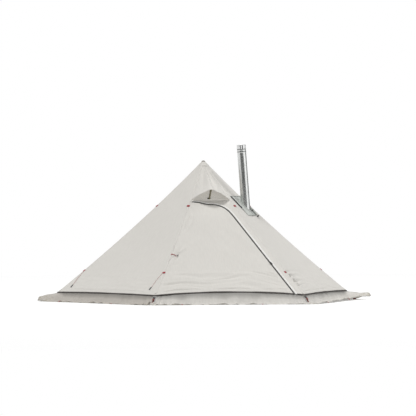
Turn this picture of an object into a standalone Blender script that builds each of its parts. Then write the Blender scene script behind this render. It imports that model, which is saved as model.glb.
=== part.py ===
"""Six-sided tipi tent on one centre pole, with a zipped door, a propped vent hood,
a snow skirt, guy-lines and a stove jack with its pipe. Metres, +Z up.

The origin is on the ground under the apex. The door wall faces -Y and one hem corner
lies on +X. Places on a wall are given as (across, height): across runs along the hem,
to the right as seen from outside, and height is the height above the ground.
"""

from math import ceil, cos, degrees, hypot, pi, radians, sin, sqrt, tan

import bpy
from mathutils import Vector
from mathutils.geometry import delaunay_2d_cdt

# Driving sizes of the canopy
sides = 6
corner_radius = 1.75
hem_height = 0.10
apex_height = 1.66
ridge_sag = 0.051
cloth = 0.002
touch = 0.0003
hem_lift = 0.009
door_hem_lift = 0.036
wall_top = apex_height - 0.010

# Facing directions of the six walls, in degrees
front = 270
right_front = 330
right_back = 30
back = 90
left_back = 150
left_front = 210

# Seams, webbing and edges
seam_leg = 0.012
seam_thickness = 0.0010
seam_rise = 0.006
webbing = 0.0015
hem_band = 0.011
hem_band_thickness = 0.0014

# Door
hinge_inset = 0.030
hinge_lift = 0.004
tie_height = hem_height + 0.460
toggle_radius = 0.0045
toggle_length = 0.030
zip_inset = 0.112
zip_half = 0.011
zip_bend_height = apex_height - 0.660
zip_end_height = apex_height - 0.494
coil_gap = 0.0009
coil_half = 0.0032
coil_height = 0.0024
tape_gap = 0.0008
tape_low = 0.0006
tape_thickness = 0.0010
storm_edge = -0.0074
storm_root = -0.030
storm_thickness = 0.0012

# Zip slider
slider_share = 0.41
slider_length = 0.026
slider_width = 0.013
slider_plate = 0.0015
slider_clearance = 0.0004
slider_post = 0.0009
pull_length = 0.034

# Vent
sill_height = apex_height - 0.463
hood_lip = apex_height - 0.470
hood_top = apex_height - 0.077
hood_peak = 0.176
hood_peak_across = -0.018
strut_radius = 0.0030

# Skirt
skirt_fall = 0.085
skirt_reach = 0.195
skirt_ripple = 0.014
skirt_raise = 0.045
corner_drape = 0.17
drape_corners = {0: 0.232, 180: 0.010}
right_tip = 0.060
hem_drop = 0.0006
corner_slit = 0.019
skirt_slit = 0.005
door_skirt_inset = 0.14
peg_loop_shares = (-0.62, 0.36)
peg_loop_width = 0.012
peg_loop_length = 0.022
peg_loop_thickness = 0.0012
peg_loop_sewn = 0.006

# Apex cap
cap_bottom = apex_height - 0.075
cap_thickness = 0.0016
cap_inner_tip = 0.002
cap_outer_tip = 0.006
seam_tuck = 0.008

# Guy-line tags, lines and tensioners
tag_low = hem_height + 0.257
tag_high = apex_height - 0.543
tag_width = 0.027
tag_length = 0.050
tag_thickness = 0.0018
cord_radius = 0.00135
cord_drop = 0.150
cord_sway = 0.006
tensioner_length = 0.048
tensioner_width = 0.015
tensioner_thickness = 0.0045
tensioner_hole = 0.0019
tensioner_end = 0.010

# Corner buckle, strap and peg loop
buckle_out = 0.016
buckle_drop = 0.022
buckle_width = 0.030
buckle_length = 0.027
buckle_thickness = 0.0045
buckle_slot = 0.0036
strap_width = 0.020
tab_rise = 0.006
tab_drop = 0.002
tab_gap = 0.0018
loop_radius = 1.845
loop_length = 0.036
loop_width = 0.017
loop_height = 0.018
loop_thickness = 0.0025

# Stove jack and pipe
pipe_radius = 0.0525
pipe_wall = 0.0008
pipe_lean = 4.2
pipe_lean_facing = 168.4
jack_across = 0.030
jack_height = apex_height - 0.575
pipe_inside = 0.67
pipe_outside = 0.662
jack_opening_margin = 0.030
patch_left = -0.128
patch_right = 0.178
patch_splay = 0.036
patch_bottom = jack_height - 0.085
patch_top = jack_height + 0.147
patch_thickness = 0.0022
pipe_grip = 0.0004
collar_flare = 0.026
collar_thickness = 0.0025
collar_height = 0.034
hook_width = 0.016
roll_radius = 0.010
arrester_length = 0.094
arrester_band = 0.034
arrester_slots = 12
arrester_slot = 0.014
spigot_length = 0.024

# Centre pole
pole_radius = 0.016
pole_wall = 0.0012
pole_clearance = 0.0004
pole_foot_floor = 0.006
foot_height = 0.032
lower_top = 0.620
pole_overlap = 0.120
pole_tube = 0.620
tip_shoulder = apex_height - 0.035
tip_seat = apex_height - 0.024
tip_rim = 0.004
tip_top = apex_height - 0.014
clamp_wall = 0.0040
clamp_height = 0.034
clamp_ear = 0.012
clamp_ear_thickness = 0.0045
clamp_pin = 0.0018
lever_height = 0.020
lever_wall = 0.0035
barrel_wall = 0.0018
lever_turn = 1.95

# How round shapes and long edges are divided
pipe_sides = 32
pole_sides = 20
cloth_spacing = 0.16


# Scene and mesh helpers

for old in list(bpy.data.objects):
    bpy.data.objects.remove(old, do_unlink=True)


def material(name, colour, roughness, metallic=0.0):
    made = bpy.data.materials.new(name)
    made.use_nodes = True
    shader = made.node_tree.nodes["Principled BSDF"]
    shader.inputs["Base Color"].default_value = (*colour, 1.0)
    shader.inputs["Roughness"].default_value = roughness
    shader.inputs["Metallic"].default_value = metallic
    return made


def merged(parts):
    points = []
    faces = []
    for part_points, part_faces in parts:
        start = len(points)
        points.extend(part_points)
        faces.extend([[start + i for i in face] for face in part_faces])
    return points, faces


def add_object(name, part, look, origin=(0, 0, 0), smooth_angle=None):
    """One named object; its origin is where the piece turns or slides from."""
    origin = Vector(origin)
    points, faces = part
    mesh = bpy.data.meshes.new(name)
    mesh.from_pydata([Vector(p) - origin for p in points], [], faces)
    mesh.validate()
    mesh.materials.append(look)
    if smooth_angle:
        mesh.shade_smooth()
        mesh.set_sharp_from_angle(angle=radians(smooth_angle))
    made = bpy.data.objects.new(name, mesh)
    made.location = origin
    bpy.context.collection.objects.link(made)
    return made


def add_helper(name, part):
    mesh = bpy.data.meshes.new(name)
    mesh.from_pydata([Vector(p) for p in part[0]], [], part[1])
    made = bpy.data.objects.new(name, mesh)
    made.hide_render = True
    made.display_type = "WIRE"
    bpy.context.collection.objects.link(made)
    return made


def cut(target, cutter):
    step = target.modifiers.new("cut " + cutter.name, "BOOLEAN")
    step.operation = "DIFFERENCE"
    step.solver = "EXACT"
    step.object = cutter


def fuse(target, piece):
    step = target.modifiers.new("join " + piece.name, "BOOLEAN")
    step.operation = "UNION"
    step.solver = "EXACT"
    step.object = piece


def evenly(start, end, count):
    return [start + (end - start) * i / count for i in range(count + 1)]


def outward_facing(points, faces):
    """The same faces, turned round if the closed body they make is inside out."""
    volume = 0.0
    for face in faces:
        a = points[face[0]]
        for i in range(1, len(face) - 1):
            volume += a.dot(points[face[i]].cross(points[face[i + 1]]))
    if volume < 0:
        faces = [list(reversed(face)) for face in faces]
    return points, faces


def loft(rings, closed=False):
    """A body through rings of equally many points, with its two ends filled."""
    count = len(rings[0])
    points = [Vector(p) for ring in rings for p in ring]
    centre = sum(points, Vector()) / len(points)
    faces = []
    last = len(rings) if closed else len(rings) - 1
    for r in range(last):
        a = r * count
        b = ((r + 1) % len(rings)) * count
        for i in range(count):
            j = (i + 1) % count
            faces.append([a + i, a + j, b + j, b + i])
    if not closed:
        faces.append(list(reversed(range(count))))
        faces.append([last * count + i for i in range(count)])
    local = [p - centre for p in points]
    return points, outward_facing(local, faces)[1]


def turned(profile, axis_point, axis, count, start=None):
    """A ring-shaped body: profile gives (radius, distance along the axis) all round."""
    axis = Vector(axis).normalized()
    across = Vector(start or (1, 0, 0))
    first = (across - axis * across.dot(axis)).normalized()
    second = axis.cross(first)
    rings = []
    for k in range(count):
        turn = 2 * pi * k / count
        away = first * cos(turn) + second * sin(turn)
        rings.append([Vector(axis_point) + away * r + axis * d for r, d in profile])
    return loft(rings, closed=True)


def rod(radius, start, end, count=12, end_radius=None):
    """A plain round bar from one point to another."""
    start = Vector(start)
    end = Vector(end)
    axis = (end - start).normalized()
    side = Vector((0, 0, 1)) if abs(axis.z) < 0.9 else Vector((1, 0, 0))
    first = axis.cross(side).normalized()
    second = axis.cross(first)
    rings = []
    for centre, r in ((start, radius), (end, end_radius or radius)):
        rings.append([
            centre + first * r * cos(2 * pi * k / count) + second * r * sin(2 * pi * k / count)
            for k in range(count)
        ])
    return loft(rings)


def revolved(profile, count=None):
    """A solid of revolution about +Z whose last profile point closes it on the axis."""
    count = count or pole_sides
    rings = []
    for radius, height in profile:
        rings.append([
            Vector((radius * cos(2 * pi * k / count), radius * sin(2 * pi * k / count), height))
            for k in range(count)
        ])
    return loft(rings)


def flat_strip(path, across, width, thickness):
    """A flat strip along a path, across gives the direction of its width."""
    across = Vector(across).normalized()
    rings = []
    for i, spot in enumerate(path):
        run = (path[min(len(path) - 1, i + 1)] - path[max(0, i - 1)]).normalized()
        square = run.cross(across).normalized()
        if square.z < 0:
            square = -square
        rings.append([
            spot + across * sx * width / 2 + square * sz * thickness
            for sx, sz in ((-1, 0), (1, 0), (1, 1), (-1, 1))
        ])
    return loft(rings)


def tube_body(path, radius, count):
    """A solid round bar along a path of points."""
    rings = []
    for i, spot in enumerate(path):
        run = (path[min(len(path) - 1, i + 1)] - path[max(0, i - 1)]).normalized()
        side = run.cross(Vector((0, 0, 1))).normalized()
        rise = side.cross(run)
        rings.append([
            spot + (side * cos(2 * pi * k / count) + rise * sin(2 * pi * k / count)) * radius
            for k in range(count)
        ])
    return loft(rings)


def slot_outline(length, width, steps=4):
    """A long shape with round ends."""
    straight = (length - width) / 2
    made = []
    for end, start in ((1, -pi / 2), (-1, pi / 2)):
        for k in range(steps + 1):
            turn = start + pi * k / steps
            made.append((end * straight + width / 2 * cos(turn), width / 2 * sin(turn)))
    return made


def block(centre, x_dir, y_dir, size, corner=0.0, steps=3):
    """A plate with rounded corners in its x and y plane, size is (x, y, thickness)."""
    centre = Vector(centre)
    x_dir = Vector(x_dir).normalized()
    z_dir = x_dir.cross(Vector(y_dir)).normalized()
    y_dir = z_dir.cross(x_dir)
    outline = []
    for quarter, (sx, sy) in enumerate(((1, 1), (-1, 1), (-1, -1), (1, -1))):
        cx = sx * (size[0] / 2 - corner)
        cy = sy * (size[1] / 2 - corner)
        if corner == 0:
            outline.append((cx, cy))
            continue
        for k in range(steps + 1):
            turn = (quarter + k / steps) * pi / 2
            outline.append((cx + corner * cos(turn), cy + corner * sin(turn)))
    rings = []
    for z in (-size[2] / 2, size[2] / 2):
        rings.append([centre + x_dir * x + y_dir * y + z_dir * z for x, y in outline])
    return loft(rings)


def smooth_path(points, steps):
    """A Catmull-Rom curve through the points."""
    points = [Vector(p) for p in points]
    full = [2 * points[0] - points[1]] + points + [2 * points[-1] - points[-2]]
    made = []
    for i in range(1, len(full) - 2):
        p0, p1, p2, p3 = full[i - 1:i + 3]
        for k in range(steps):
            t = k / steps
            made.append(0.5 * (
                2 * p1 + (p2 - p0) * t
                + (2 * p0 - 5 * p1 + 4 * p2 - p3) * t ** 2
                + (3 * p1 - p0 - 3 * p2 + p3) * t ** 3
            ))
    made.append(points[-1])
    return made


# The shape of the walls

half_turn = pi / sides


def ridge_radius(height):
    """Distance of the ridges from the centre line; the ridges sag between apex and hem."""
    rise = (height - hem_height) / (apex_height - hem_height)
    return corner_radius * (1 - rise) - 4 * ridge_sag * rise * (1 - rise)


def ridge_run(height):
    """How fast the ridges come in with height."""
    rise = (height - hem_height) / (apex_height - hem_height)
    span = apex_height - hem_height
    return (-corner_radius - 4 * ridge_sag * (1 - 2 * rise)) / span


def half_width(height):
    return ridge_radius(height) * sin(half_turn)


def wall_directions(facing):
    turn = radians(facing)
    return Vector((cos(turn), sin(turn), 0)), Vector((-sin(turn), cos(turn), 0))


def wall_normal(facing, height):
    outward = wall_directions(facing)[0]
    return (outward - Vector((0, 0, 1)) * ridge_run(height) * cos(half_turn)).normalized()


def wall_uphill(facing, height):
    """The direction straight up the slope of a wall."""
    along = wall_directions(facing)[1]
    uphill = wall_normal(facing, height).cross(along)
    return uphill if uphill.z > 0 else -uphill


def on_wall(facing, across, height, out=0.0):
    """A point over a wall, out is the distance from the inside of the cloth, square to it."""
    outward, along = wall_directions(facing)
    place = outward * ridge_radius(height) * cos(half_turn) + along * across
    place.z = height
    return place + wall_normal(facing, height) * out


def crest(height, out):
    """How far across a surface that lies this far out meets the one of the next wall."""
    level = 1 / sqrt(1 + (ridge_run(height) * cos(half_turn)) ** 2)
    return half_width(height) + tan(half_turn) * out * level


def hem_at(facing, across):
    """The hem is cut a little hollow between its corners, most of all under the door."""
    lift = door_hem_lift if facing == front else hem_lift
    return hem_height + lift * max(0.0, 1 - (across / half_width(hem_height)) ** 2)


wall_slope = 1.42


def inside(outline, point):
    hit = False
    x, y = point
    for i in range(len(outline)):
        x0, y0 = outline[i - 1]
        x1, y1 = outline[i]
        if (y0 > y) != (y1 > y) and x < x0 + (x1 - x0) * (y - y0) / (y1 - y0):
            hit = not hit
    return hit


def edge_distance(outline, point):
    best = 9.0
    x, y = point
    for i in range(len(outline)):
        x0, y0 = outline[i - 1]
        dx = outline[i][0] - x0
        dy = outline[i][1] - y0
        length = dx * dx + dy * dy
        t = 0.0 if length == 0 else max(0.0, min(1.0, ((x - x0) * dx + (y - y0) * dy) / length))
        best = min(best, hypot(x - x0 - t * dx, y - y0 - t * dy))
    return best


def divided(outline, spacing):
    """The same closed outline with long edges split."""
    made = []
    for i in range(len(outline)):
        a = outline[i]
        b = outline[(i + 1) % len(outline)]
        count = max(1, ceil(hypot(b[0] - a[0], b[1] - a[1]) / spacing - 0.01))
        for k in range(count):
            made.append((a[0] + (b[0] - a[0]) * k / count, a[1] + (b[1] - a[1]) * k / count))
    return made


def sheet(outline, place, thickness=cloth, holes=(), folds=(), spacing=cloth_spacing):
    """A sheet of even thickness whose outline, holes and folds are drawn on the wall."""
    loops = [divided(outline, spacing)] + [divided(hole, spacing) for hole in holes]
    flat = []
    edges = []
    for loop in loops:
        start = len(flat)
        flat.extend(loop)
        edges.extend([(start + i, start + (i + 1) % len(loop)) for i in range(len(loop))])
    for fold in folds:
        edges.extend([(len(flat) + i, len(flat) + i + 1) for i in range(len(fold) - 1)])
        flat.extend(fold)
    left = min(p[0] for p in flat)
    right = max(p[0] for p in flat)
    low = min(p[1] for p in flat)
    high = max(p[1] for p in flat)
    for across in evenly(left, right, max(1, ceil((right - left) / spacing))):
        for height in evenly(low, high, max(1, ceil((high - low) / spacing))):
            spot = (across, height)
            if not inside(loops[0], spot) or any(inside(hole, spot) for hole in loops[1:]):
                continue
            if min(edge_distance(loop, spot) for loop in loops) > 0.45 * spacing:
                flat.append(spot)
    found = delaunay_2d_cdt([Vector(p) for p in flat], edges, [], 0, 1e-7)
    flat = [tuple(p) for p in found[0]]
    kept = []
    for face in found[2]:
        middle = [sum(flat[i][axis] for i in face) / len(face) for axis in (0, 1)]
        if inside(loops[0], middle) and not any(inside(hole, middle) for hole in loops[1:]):
            kept.append(list(face))
    used = sorted({i for face in kept for i in face})
    index = {old: new for new, old in enumerate(used)}
    kept = [[index[i] for i in face] for face in kept]
    count = len(used)
    points = [place(*flat[i], 0.0) for i in used] + [place(*flat[i], thickness) for i in used]
    faces = [list(reversed(face)) for face in kept] + [[count + i for i in face] for face in kept]
    directed = {(face[i], face[(i + 1) % 3]) for face in kept for i in range(3)}
    for a, b in sorted(directed):
        if (b, a) not in directed:
            faces.append([a, b, count + b, count + a])
    return outward_facing(points, faces)


def on_wall_from(facing, base=0.0):
    """Places sheets on one wall, this far out from the inside of its cloth."""
    return lambda across, height, out: on_wall(facing, across, height, base + out)


def ridge_edge(side, low, high, inset, count=10):
    """Points up the ridge at one side of a wall, side is -1 for left and +1 for right."""
    return [(side * (half_width(h) - inset), h) for h in evenly(low, high, count)]


def hem_edge(facing, start, end, count=10):
    return [(a, hem_at(facing, a)) for a in evenly(start, end, count)]


def offset_path(path, distance):
    """A path drawn on the wall, moved this far to its left."""
    made = []
    for i, (a, h) in enumerate(path):
        before = path[max(0, i - 1)]
        after = path[min(len(path) - 1, i + 1)]
        da = after[0] - before[0]
        dh = (after[1] - before[1]) * wall_slope
        length = hypot(da, dh)
        made.append((a - distance * dh / length, h + distance * da / length / wall_slope))
    return made


# Materials
canopy_cloth = material("canopy_cloth", (0.66, 0.64, 0.61), 0.75)
skirt_cloth = material("skirt_cloth", (0.52, 0.49, 0.45), 0.85)
mesh_net = material("mesh_net", (0.30, 0.29, 0.27), 0.90)
black_webbing = material("black_webbing", (0.030, 0.028, 0.027), 0.80)
red_webbing = material("red_webbing", (0.45, 0.060, 0.060), 0.75)
black_plastic = material("black_plastic", (0.020, 0.020, 0.022), 0.45)
zip_black = material("zip_black", (0.035, 0.035, 0.035), 0.60)
slider_metal = material("slider_metal", (0.10, 0.10, 0.10), 0.35, 1.0)
strut_olive = material("strut_olive", (0.12, 0.11, 0.07), 0.50)
jack_fibreglass = material("jack_fibreglass", (0.50, 0.53, 0.50), 0.70)
stainless = material("stainless", (0.62, 0.62, 0.61), 0.22, 1.0)
pole_aluminium = material("pole_aluminium", (0.55, 0.56, 0.58), 0.35, 1.0)
guy_cord = material("guy_cord", (0.50, 0.10, 0.10), 0.70)

edge_gap = 0.0005


# The five plain walls

def wall_outline(facing):
    width = half_width(hem_height) - edge_gap
    right = ridge_edge(1, hem_height, wall_top, edge_gap)
    left = list(reversed(ridge_edge(-1, hem_height, wall_top, edge_gap)))
    return hem_edge(facing, -width, width)[:-1] + right + left[:-1]


for name, facing in (
    ("wall_left_front", left_front),
    ("wall_left_back", left_back),
    ("wall_back", back),
    ("wall_right_back", right_back),
):
    add_object(name, sheet(wall_outline(facing), on_wall_from(facing)), canopy_cloth)


# Where the pipe passes the right-hand front wall

lean = radians(pipe_lean)
lean_outward = wall_directions(pipe_lean_facing)[0]
pipe_axis = (lean_outward * sin(lean) + Vector((0, 0, 1)) * cos(lean)).normalized()
pipe_point = on_wall(right_front, jack_across, jack_height)
pipe_first = (Vector((1, 0, 0)) - pipe_axis * pipe_axis.x).normalized()
pipe_second = pipe_axis.cross(pipe_first)


def above_wall(facing, place):
    """Rough distance of a point outside the inner face of a wall, and its place there."""
    outward, along = wall_directions(facing)
    height = place.z
    for _ in range(8):
        foot = on_wall(facing, along.dot(place), height)
        normal = wall_normal(facing, height)
        out = (place - foot).dot(normal)
        height = place.z - normal.z * out
    return out, along.dot(place), height


def pipe_meets_wall(radius, turn, out):
    """Distance along the pipe axis where a line on its side comes this far out of the wall."""
    side = pipe_point + radius * (pipe_first * cos(turn) + pipe_second * sin(turn))
    along = 0.0
    for _ in range(12):
        found = above_wall(right_front, side + pipe_axis * along)[0]
        rate = pipe_axis.dot(wall_normal(right_front, jack_height))
        along += (out - found) / rate
    return along


def pipe_outline_on_wall(radius, out, count):
    made = []
    for k in range(count):
        turn = 2 * pi * k / count
        side = pipe_point + radius * (pipe_first * cos(turn) + pipe_second * sin(turn))
        spot = side + pipe_axis * pipe_meets_wall(radius, turn, out)
        made.append(above_wall(right_front, spot)[1:])
    return made


wall_hole = pipe_outline_on_wall(pipe_radius + jack_opening_margin, cloth / 2, 16)
add_object(
    "wall_right_front",
    sheet(wall_outline(right_front), on_wall_from(right_front), holes=[wall_hole]),
    canopy_cloth,
)


# Zip line round the door
# Its long side run is a straight line, because the tape doesn't stretch.

zip_bottom = half_width(hem_height) - zip_inset
zip_foot = on_wall(front, zip_bottom, hem_at(front, zip_bottom))
zip_bend = on_wall(front, half_width(zip_bend_height) - zip_inset, zip_bend_height)
zip_direction = (zip_bend - zip_foot).normalized()
zip_length = (zip_bend - zip_foot).length


def zip_at_height(height):
    """How far across, and how far out of the sagging wall, the straight run lies here."""
    share = (height - hem_height) / (zip_bend_height - hem_height)
    for _ in range(6):
        out, across, level = above_wall(front, zip_foot + zip_direction * zip_length * share)
        share += (height - level) / (zip_bend_height - hem_height)
    return across, out


def front_lift(across, height):
    """The door wall is pulled out to the straight run of the zip, and less beside it."""
    if not hem_height <= height <= zip_bend_height:
        return 0.0
    zip_across, lift = zip_at_height(height)
    beside = across - zip_across
    reach = half_width(height) - hinge_inset - zip_across if beside > 0 else 0.30
    fade = max(0.0, min(1.0, (reach - abs(beside)) / (reach - zip_half - 0.020)))
    return lift * fade


def on_front(across, height, out=0.0):
    return on_wall(front, across, height, out + front_lift(across, height))


def on_front_from(base=0.0):
    return lambda across, height, out: on_front(across, height, base + out)


zip_run = [
    above_wall(front, zip_foot + zip_direction * zip_length * share)[1:]
    for share in evenly(0, 1, 12)
]
zip_end_across = -(half_width(zip_end_height) - hinge_inset - 0.001)
zip_top = [
    (0.186, apex_height - 0.600),
    (0.128, apex_height - 0.557),
    (0.040, apex_height - 0.527),
    (-0.060, apex_height - 0.519),
    (-0.150, apex_height - 0.500),
    (zip_end_across, zip_end_height),
]
zip_path = zip_run[:-1] + [
    tuple(p) for p in smooth_path([zip_run[-2], zip_run[-1]] + zip_top, 4)[4:]
]

def beside_zip(distance):
    """The zip line moved this far to the door's side; it starts on the hem line."""
    edge = offset_path(zip_path, distance)
    slant = (edge[1][0] - edge[0][0]) / (edge[1][1] - edge[0][1])
    rise = hem_at(front, edge[0][0]) - edge[0][1]
    edge[0] = (edge[0][0] + rise * slant, edge[0][1] + rise)
    return edge


door_zip_edge = beside_zip(zip_half)
wall_zip_edge = beside_zip(-zip_half)


# Door flap, which swings about a straight line just inside the front-left ridge
door_inset = hinge_inset + 0.0004
door_left = -(half_width(hem_height) - door_inset)
door_corner = door_zip_edge[-1][1] - 0.004
door_outline = (
    hem_edge(front, door_left, door_zip_edge[0][0], 20)[1:-1]
    + door_zip_edge
    + list(reversed(ridge_edge(-1, hem_at(front, door_left), door_corner, door_inset)))
)
hinge_low = on_wall(front, -(half_width(hem_height) - hinge_inset), hem_height, hinge_lift)
hinge_high = on_wall(
    front, -(half_width(zip_end_height) - hinge_inset), zip_end_height, hinge_lift
)
add_object("door_flap", sheet(door_outline, on_front_from()), canopy_cloth, origin=hinge_low)

# Fixed part of the front wall: hinge strip, bar over the zip, strip beside the zip
strip_right = -(half_width(hem_height) - hinge_inset)
front_outline = (
    hem_edge(front, wall_zip_edge[0][0], half_width(hem_height) - edge_gap, 3)[:-1]
    + ridge_edge(1, hem_height, sill_height, edge_gap)
    + list(reversed(ridge_edge(-1, hem_height, sill_height, edge_gap)))
    + ridge_edge(-1, hem_at(front, strip_right), wall_zip_edge[-1][1], hinge_inset)[:-1]
    + list(reversed(wall_zip_edge))[:-1]
)
beside_ridge = ridge_edge(1, hem_height + 0.04, sill_height - 0.06, hinge_inset, 8)
add_object(
    "front_wall", sheet(front_outline, on_front_from(), folds=[beside_ridge]), canopy_cloth
)


# Zip tapes with their coils, and the storm flap beside them

def zip_strip(section):
    """A strip along the zip; section gives (distance to the door's side, out)."""
    edges = {d: beside_zip(d) for d, out in section}
    rings = []
    for i in range(len(zip_path)):
        rings.append([on_front(*edges[d][i], out) for d, out in section])
    return loft(rings)


def tape_section(side):
    inner = coil_gap * side
    coil = coil_half * side
    outer = (zip_half - tape_gap) * side
    high = tape_low + tape_thickness
    return [
        (inner, 0.0), (coil, 0.0), (coil, tape_low), (outer, tape_low),
        (outer, high), (coil, high), (coil, coil_height), (inner, coil_height),
    ]


add_object("zip_tape_door", zip_strip(tape_section(1)), zip_black, origin=hinge_low)
add_object("zip_tape_wall", zip_strip(tape_section(-1)), zip_black)

storm_low = coil_height + 0.0005
storm_fold = -0.016
storm_section = [
    (storm_edge, storm_low),
    (storm_edge, storm_low + storm_thickness),
    (storm_fold, storm_low + storm_thickness),
    (storm_root, cloth + touch + storm_thickness),
    (storm_root, cloth + touch),
    (storm_fold, cloth + touch),
]
add_object("zip_storm_flap", zip_strip(storm_section), canopy_cloth)


# Zip slider and pull tab
# The slider rides on the door's half of the zip: one plate over both coils, one plate
# under the door's coil, and the post between the coils that joins them.

slider_point = zip_foot + zip_direction * zip_length * slider_share
slider_across = wall_directions(front)[1]
slider_out = slider_across.cross(zip_direction)
if slider_out.z < 0:
    slider_out = -slider_out
slider_out.normalize()
slider_across = zip_direction.cross(slider_out).normalized()
to_door = slider_across if slider_across.x < 0 else -slider_across
slider_top = coil_height + slider_clearance
plate_top = slider_top + slider_plate
ear_height = 0.0045
ear_thickness = 0.0014
pull_thickness = 0.0022
pin_radius = 0.0009
ear_middle = pull_thickness / 2 + 0.0004 + ear_thickness / 2


def slider_place(along, across, out):
    return slider_point + zip_direction * along + to_door * across + slider_out * out


def slider_block(centre, size, corner=0.0):
    return block(slider_place(*centre), zip_direction, to_door, size, corner)


slider = add_object(
    "zip_slider",
    slider_block(
        (0, 0, slider_top + slider_plate / 2),
        (slider_length, slider_width, slider_plate),
        slider_width * 0.3,
    ),
    slider_metal,
    origin=slider_point,
)
post_deep = slider_top + slider_clearance + slider_plate
slider_pieces = [
    slider_block(
        (slider_length * 0.3, 0, slider_top + slider_plate * 0.5 - post_deep / 2),
        (slider_length * 0.3, slider_post, post_deep),
    ),
    slider_block(
        (0, slider_width / 4 - slider_post / 4, -slider_clearance - slider_plate / 2),
        (slider_length, slider_width / 2 + slider_post / 2, slider_plate),
    ),
    slider_block(
        (slider_length * 0.2, ear_middle, plate_top + ear_height / 2 - 0.0004),
        (0.006, ear_thickness, ear_height + 0.0008),
    ),
    slider_block(
        (slider_length * 0.2, -ear_middle, plate_top + ear_height / 2 - 0.0004),
        (0.006, ear_thickness, ear_height + 0.0008),
    ),
]
pull_pivot = slider_place(slider_length * 0.2, 0, plate_top + ear_height * 0.55)
slider_pieces.append(
    rod(pin_radius, pull_pivot - to_door * ear_middle, pull_pivot + to_door * ear_middle, 8)
)
for number, piece in enumerate(slider_pieces):
    fuse(slider, add_helper("slider piece " + str(number + 1), piece))

# Pull tab with a hole for the slider's pin, lying down the slope
pull_hole = pin_radius + 0.0003
pull_eye = pull_hole + 0.0012
pull_ring = [(pull_hole * cos(2 * pi * k / 8), pull_hole * sin(2 * pi * k / 8)) for k in range(8)]


def pull_place(along, across, out):
    """The tab's flat side drawing, with the pin's hole at its origin."""
    return pull_pivot + zip_direction * along + slider_out * across + to_door * (out - pull_thickness / 2)


# The eye is upright on the pin and the grip hangs from it as one piece
pull_grip = [
    (pull_eye * cos(t), pull_eye * sin(t)) for t in evenly(-pi / 2, pi / 2, 6)
] + [(-pull_length, pull_eye * 0.6), (-pull_length, -pull_eye)]
add_object(
    "zip_pull",
    sheet(pull_grip, pull_place, pull_thickness, holes=[pull_ring], spacing=0.02),
    black_plastic,
    origin=pull_pivot,
)


# Vent mesh under the hood
vent_outline = ridge_edge(1, sill_height + edge_gap, wall_top, edge_gap) + list(
    reversed(ridge_edge(-1, sill_height + edge_gap, wall_top, edge_gap))
)
add_object("vent_mesh", sheet(vent_outline, on_wall_from(front)), mesh_net)

# Vent hood, pushed up into an arch by the strut at its lip
hood_base = cloth + touch
hood_inset = seam_leg + 0.0006


def hood_bulge(across, height):
    """How far the hood stands off the wall under it."""
    rise = max(0.0, (hood_top - height) / (hood_top - hood_lip))
    width = half_width(height) - hood_inset
    peak = hood_peak_across * rise
    side = (across - peak) / (width - peak) if across > peak else (peak - across) / (width + peak)
    return hood_peak * min(1.0, rise) ** 1.15 * max(0.0, 1 - abs(side) ** 1.5)


def on_hood(across, height, out):
    return on_wall(front, across, height, hood_base + hood_bulge(across, height) + out)


hood_width = half_width(hood_lip) - hood_inset
hood_outline = (
    [(a, hood_lip) for a in evenly(-hood_width, hood_width, 16)][:-1]
    + ridge_edge(1, hood_lip, hood_top, hood_inset)
    + list(reversed(ridge_edge(-1, hood_lip, hood_top, hood_inset)))[:-1]
)
hood = add_object("vent_hood", sheet(hood_outline, on_hood, spacing=0.05), canopy_cloth)

# Strut that props the hood, its sleeve under the lip and its foot on the sill
strut_height = hood_lip + 0.012
strut_normal = wall_normal(front, strut_height)
strut_uphill = wall_directions(front)[1].cross(strut_normal)
if strut_uphill.z < 0:
    strut_uphill = -strut_uphill
sleeve_thickness = 0.006
hood_under = hood_base + hood_bulge(hood_peak_across, strut_height)
sleeve_middle = on_wall(
    front, hood_peak_across, strut_height, hood_under + 0.001 - sleeve_thickness / 2
)
strut_pivot = sleeve_middle - strut_normal * (sleeve_thickness / 2 + strut_radius + touch)
strut_foot_face = cloth + touch
strut_length = (strut_pivot - on_wall(front, hood_peak_across, strut_height, strut_foot_face)).length
foot_thickness = 0.007
strut_bottom = strut_pivot - strut_normal * (strut_length - foot_thickness - touch)
fuse(hood, add_helper("strut sleeve", block(
    sleeve_middle, wall_directions(front)[1], strut_uphill, (0.026, 0.016, sleeve_thickness), 0.003
)))
strut_rings = []
for along, radius in (
    (-0.0028, 0.0010),
    (-0.0021, 0.0021),
    (0.0, 0.0030),
    (strut_length - foot_thickness - touch * 2, 0.0030),
):
    strut_rings.append([
        strut_pivot - strut_normal * along
        + (wall_directions(front)[1] * cos(t) + strut_uphill * sin(t)) * radius * strut_radius / 0.003
        for t in evenly(0, 2 * pi, 12)[:-1]
    ])
add_object("vent_strut", loft(strut_rings), strut_olive, origin=strut_pivot)
add_object(
    "strut_foot",
    block(
        strut_bottom - strut_normal * (foot_thickness / 2 - touch),
        wall_directions(front)[1],
        strut_uphill,
        (0.036, 0.020, foot_thickness),
        0.004,
    ),
    black_webbing,
    origin=strut_pivot,
)


# Ridge seam tapes, joined by the apex cap, with the red guy-line tags sewn over them

def over_ridge(corner, low, high, leg, base, thickness, count):
    """A strip folded over a ridge, which runs up from the hem corner at this direction."""
    rings = []
    for height in evenly(low, high, count):
        ring = []
        for out in (base, base + thickness):
            side = [
                on_wall(corner - 30, half_width(height) - leg, height, out),
                on_wall(corner - 30, crest(height, out), height, out),
                on_wall(corner + 30, leg - half_width(height), height, out),
            ]
            ring.extend(side if out == base else reversed(side))
        rings.append(ring)
    return loft(rings)


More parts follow.
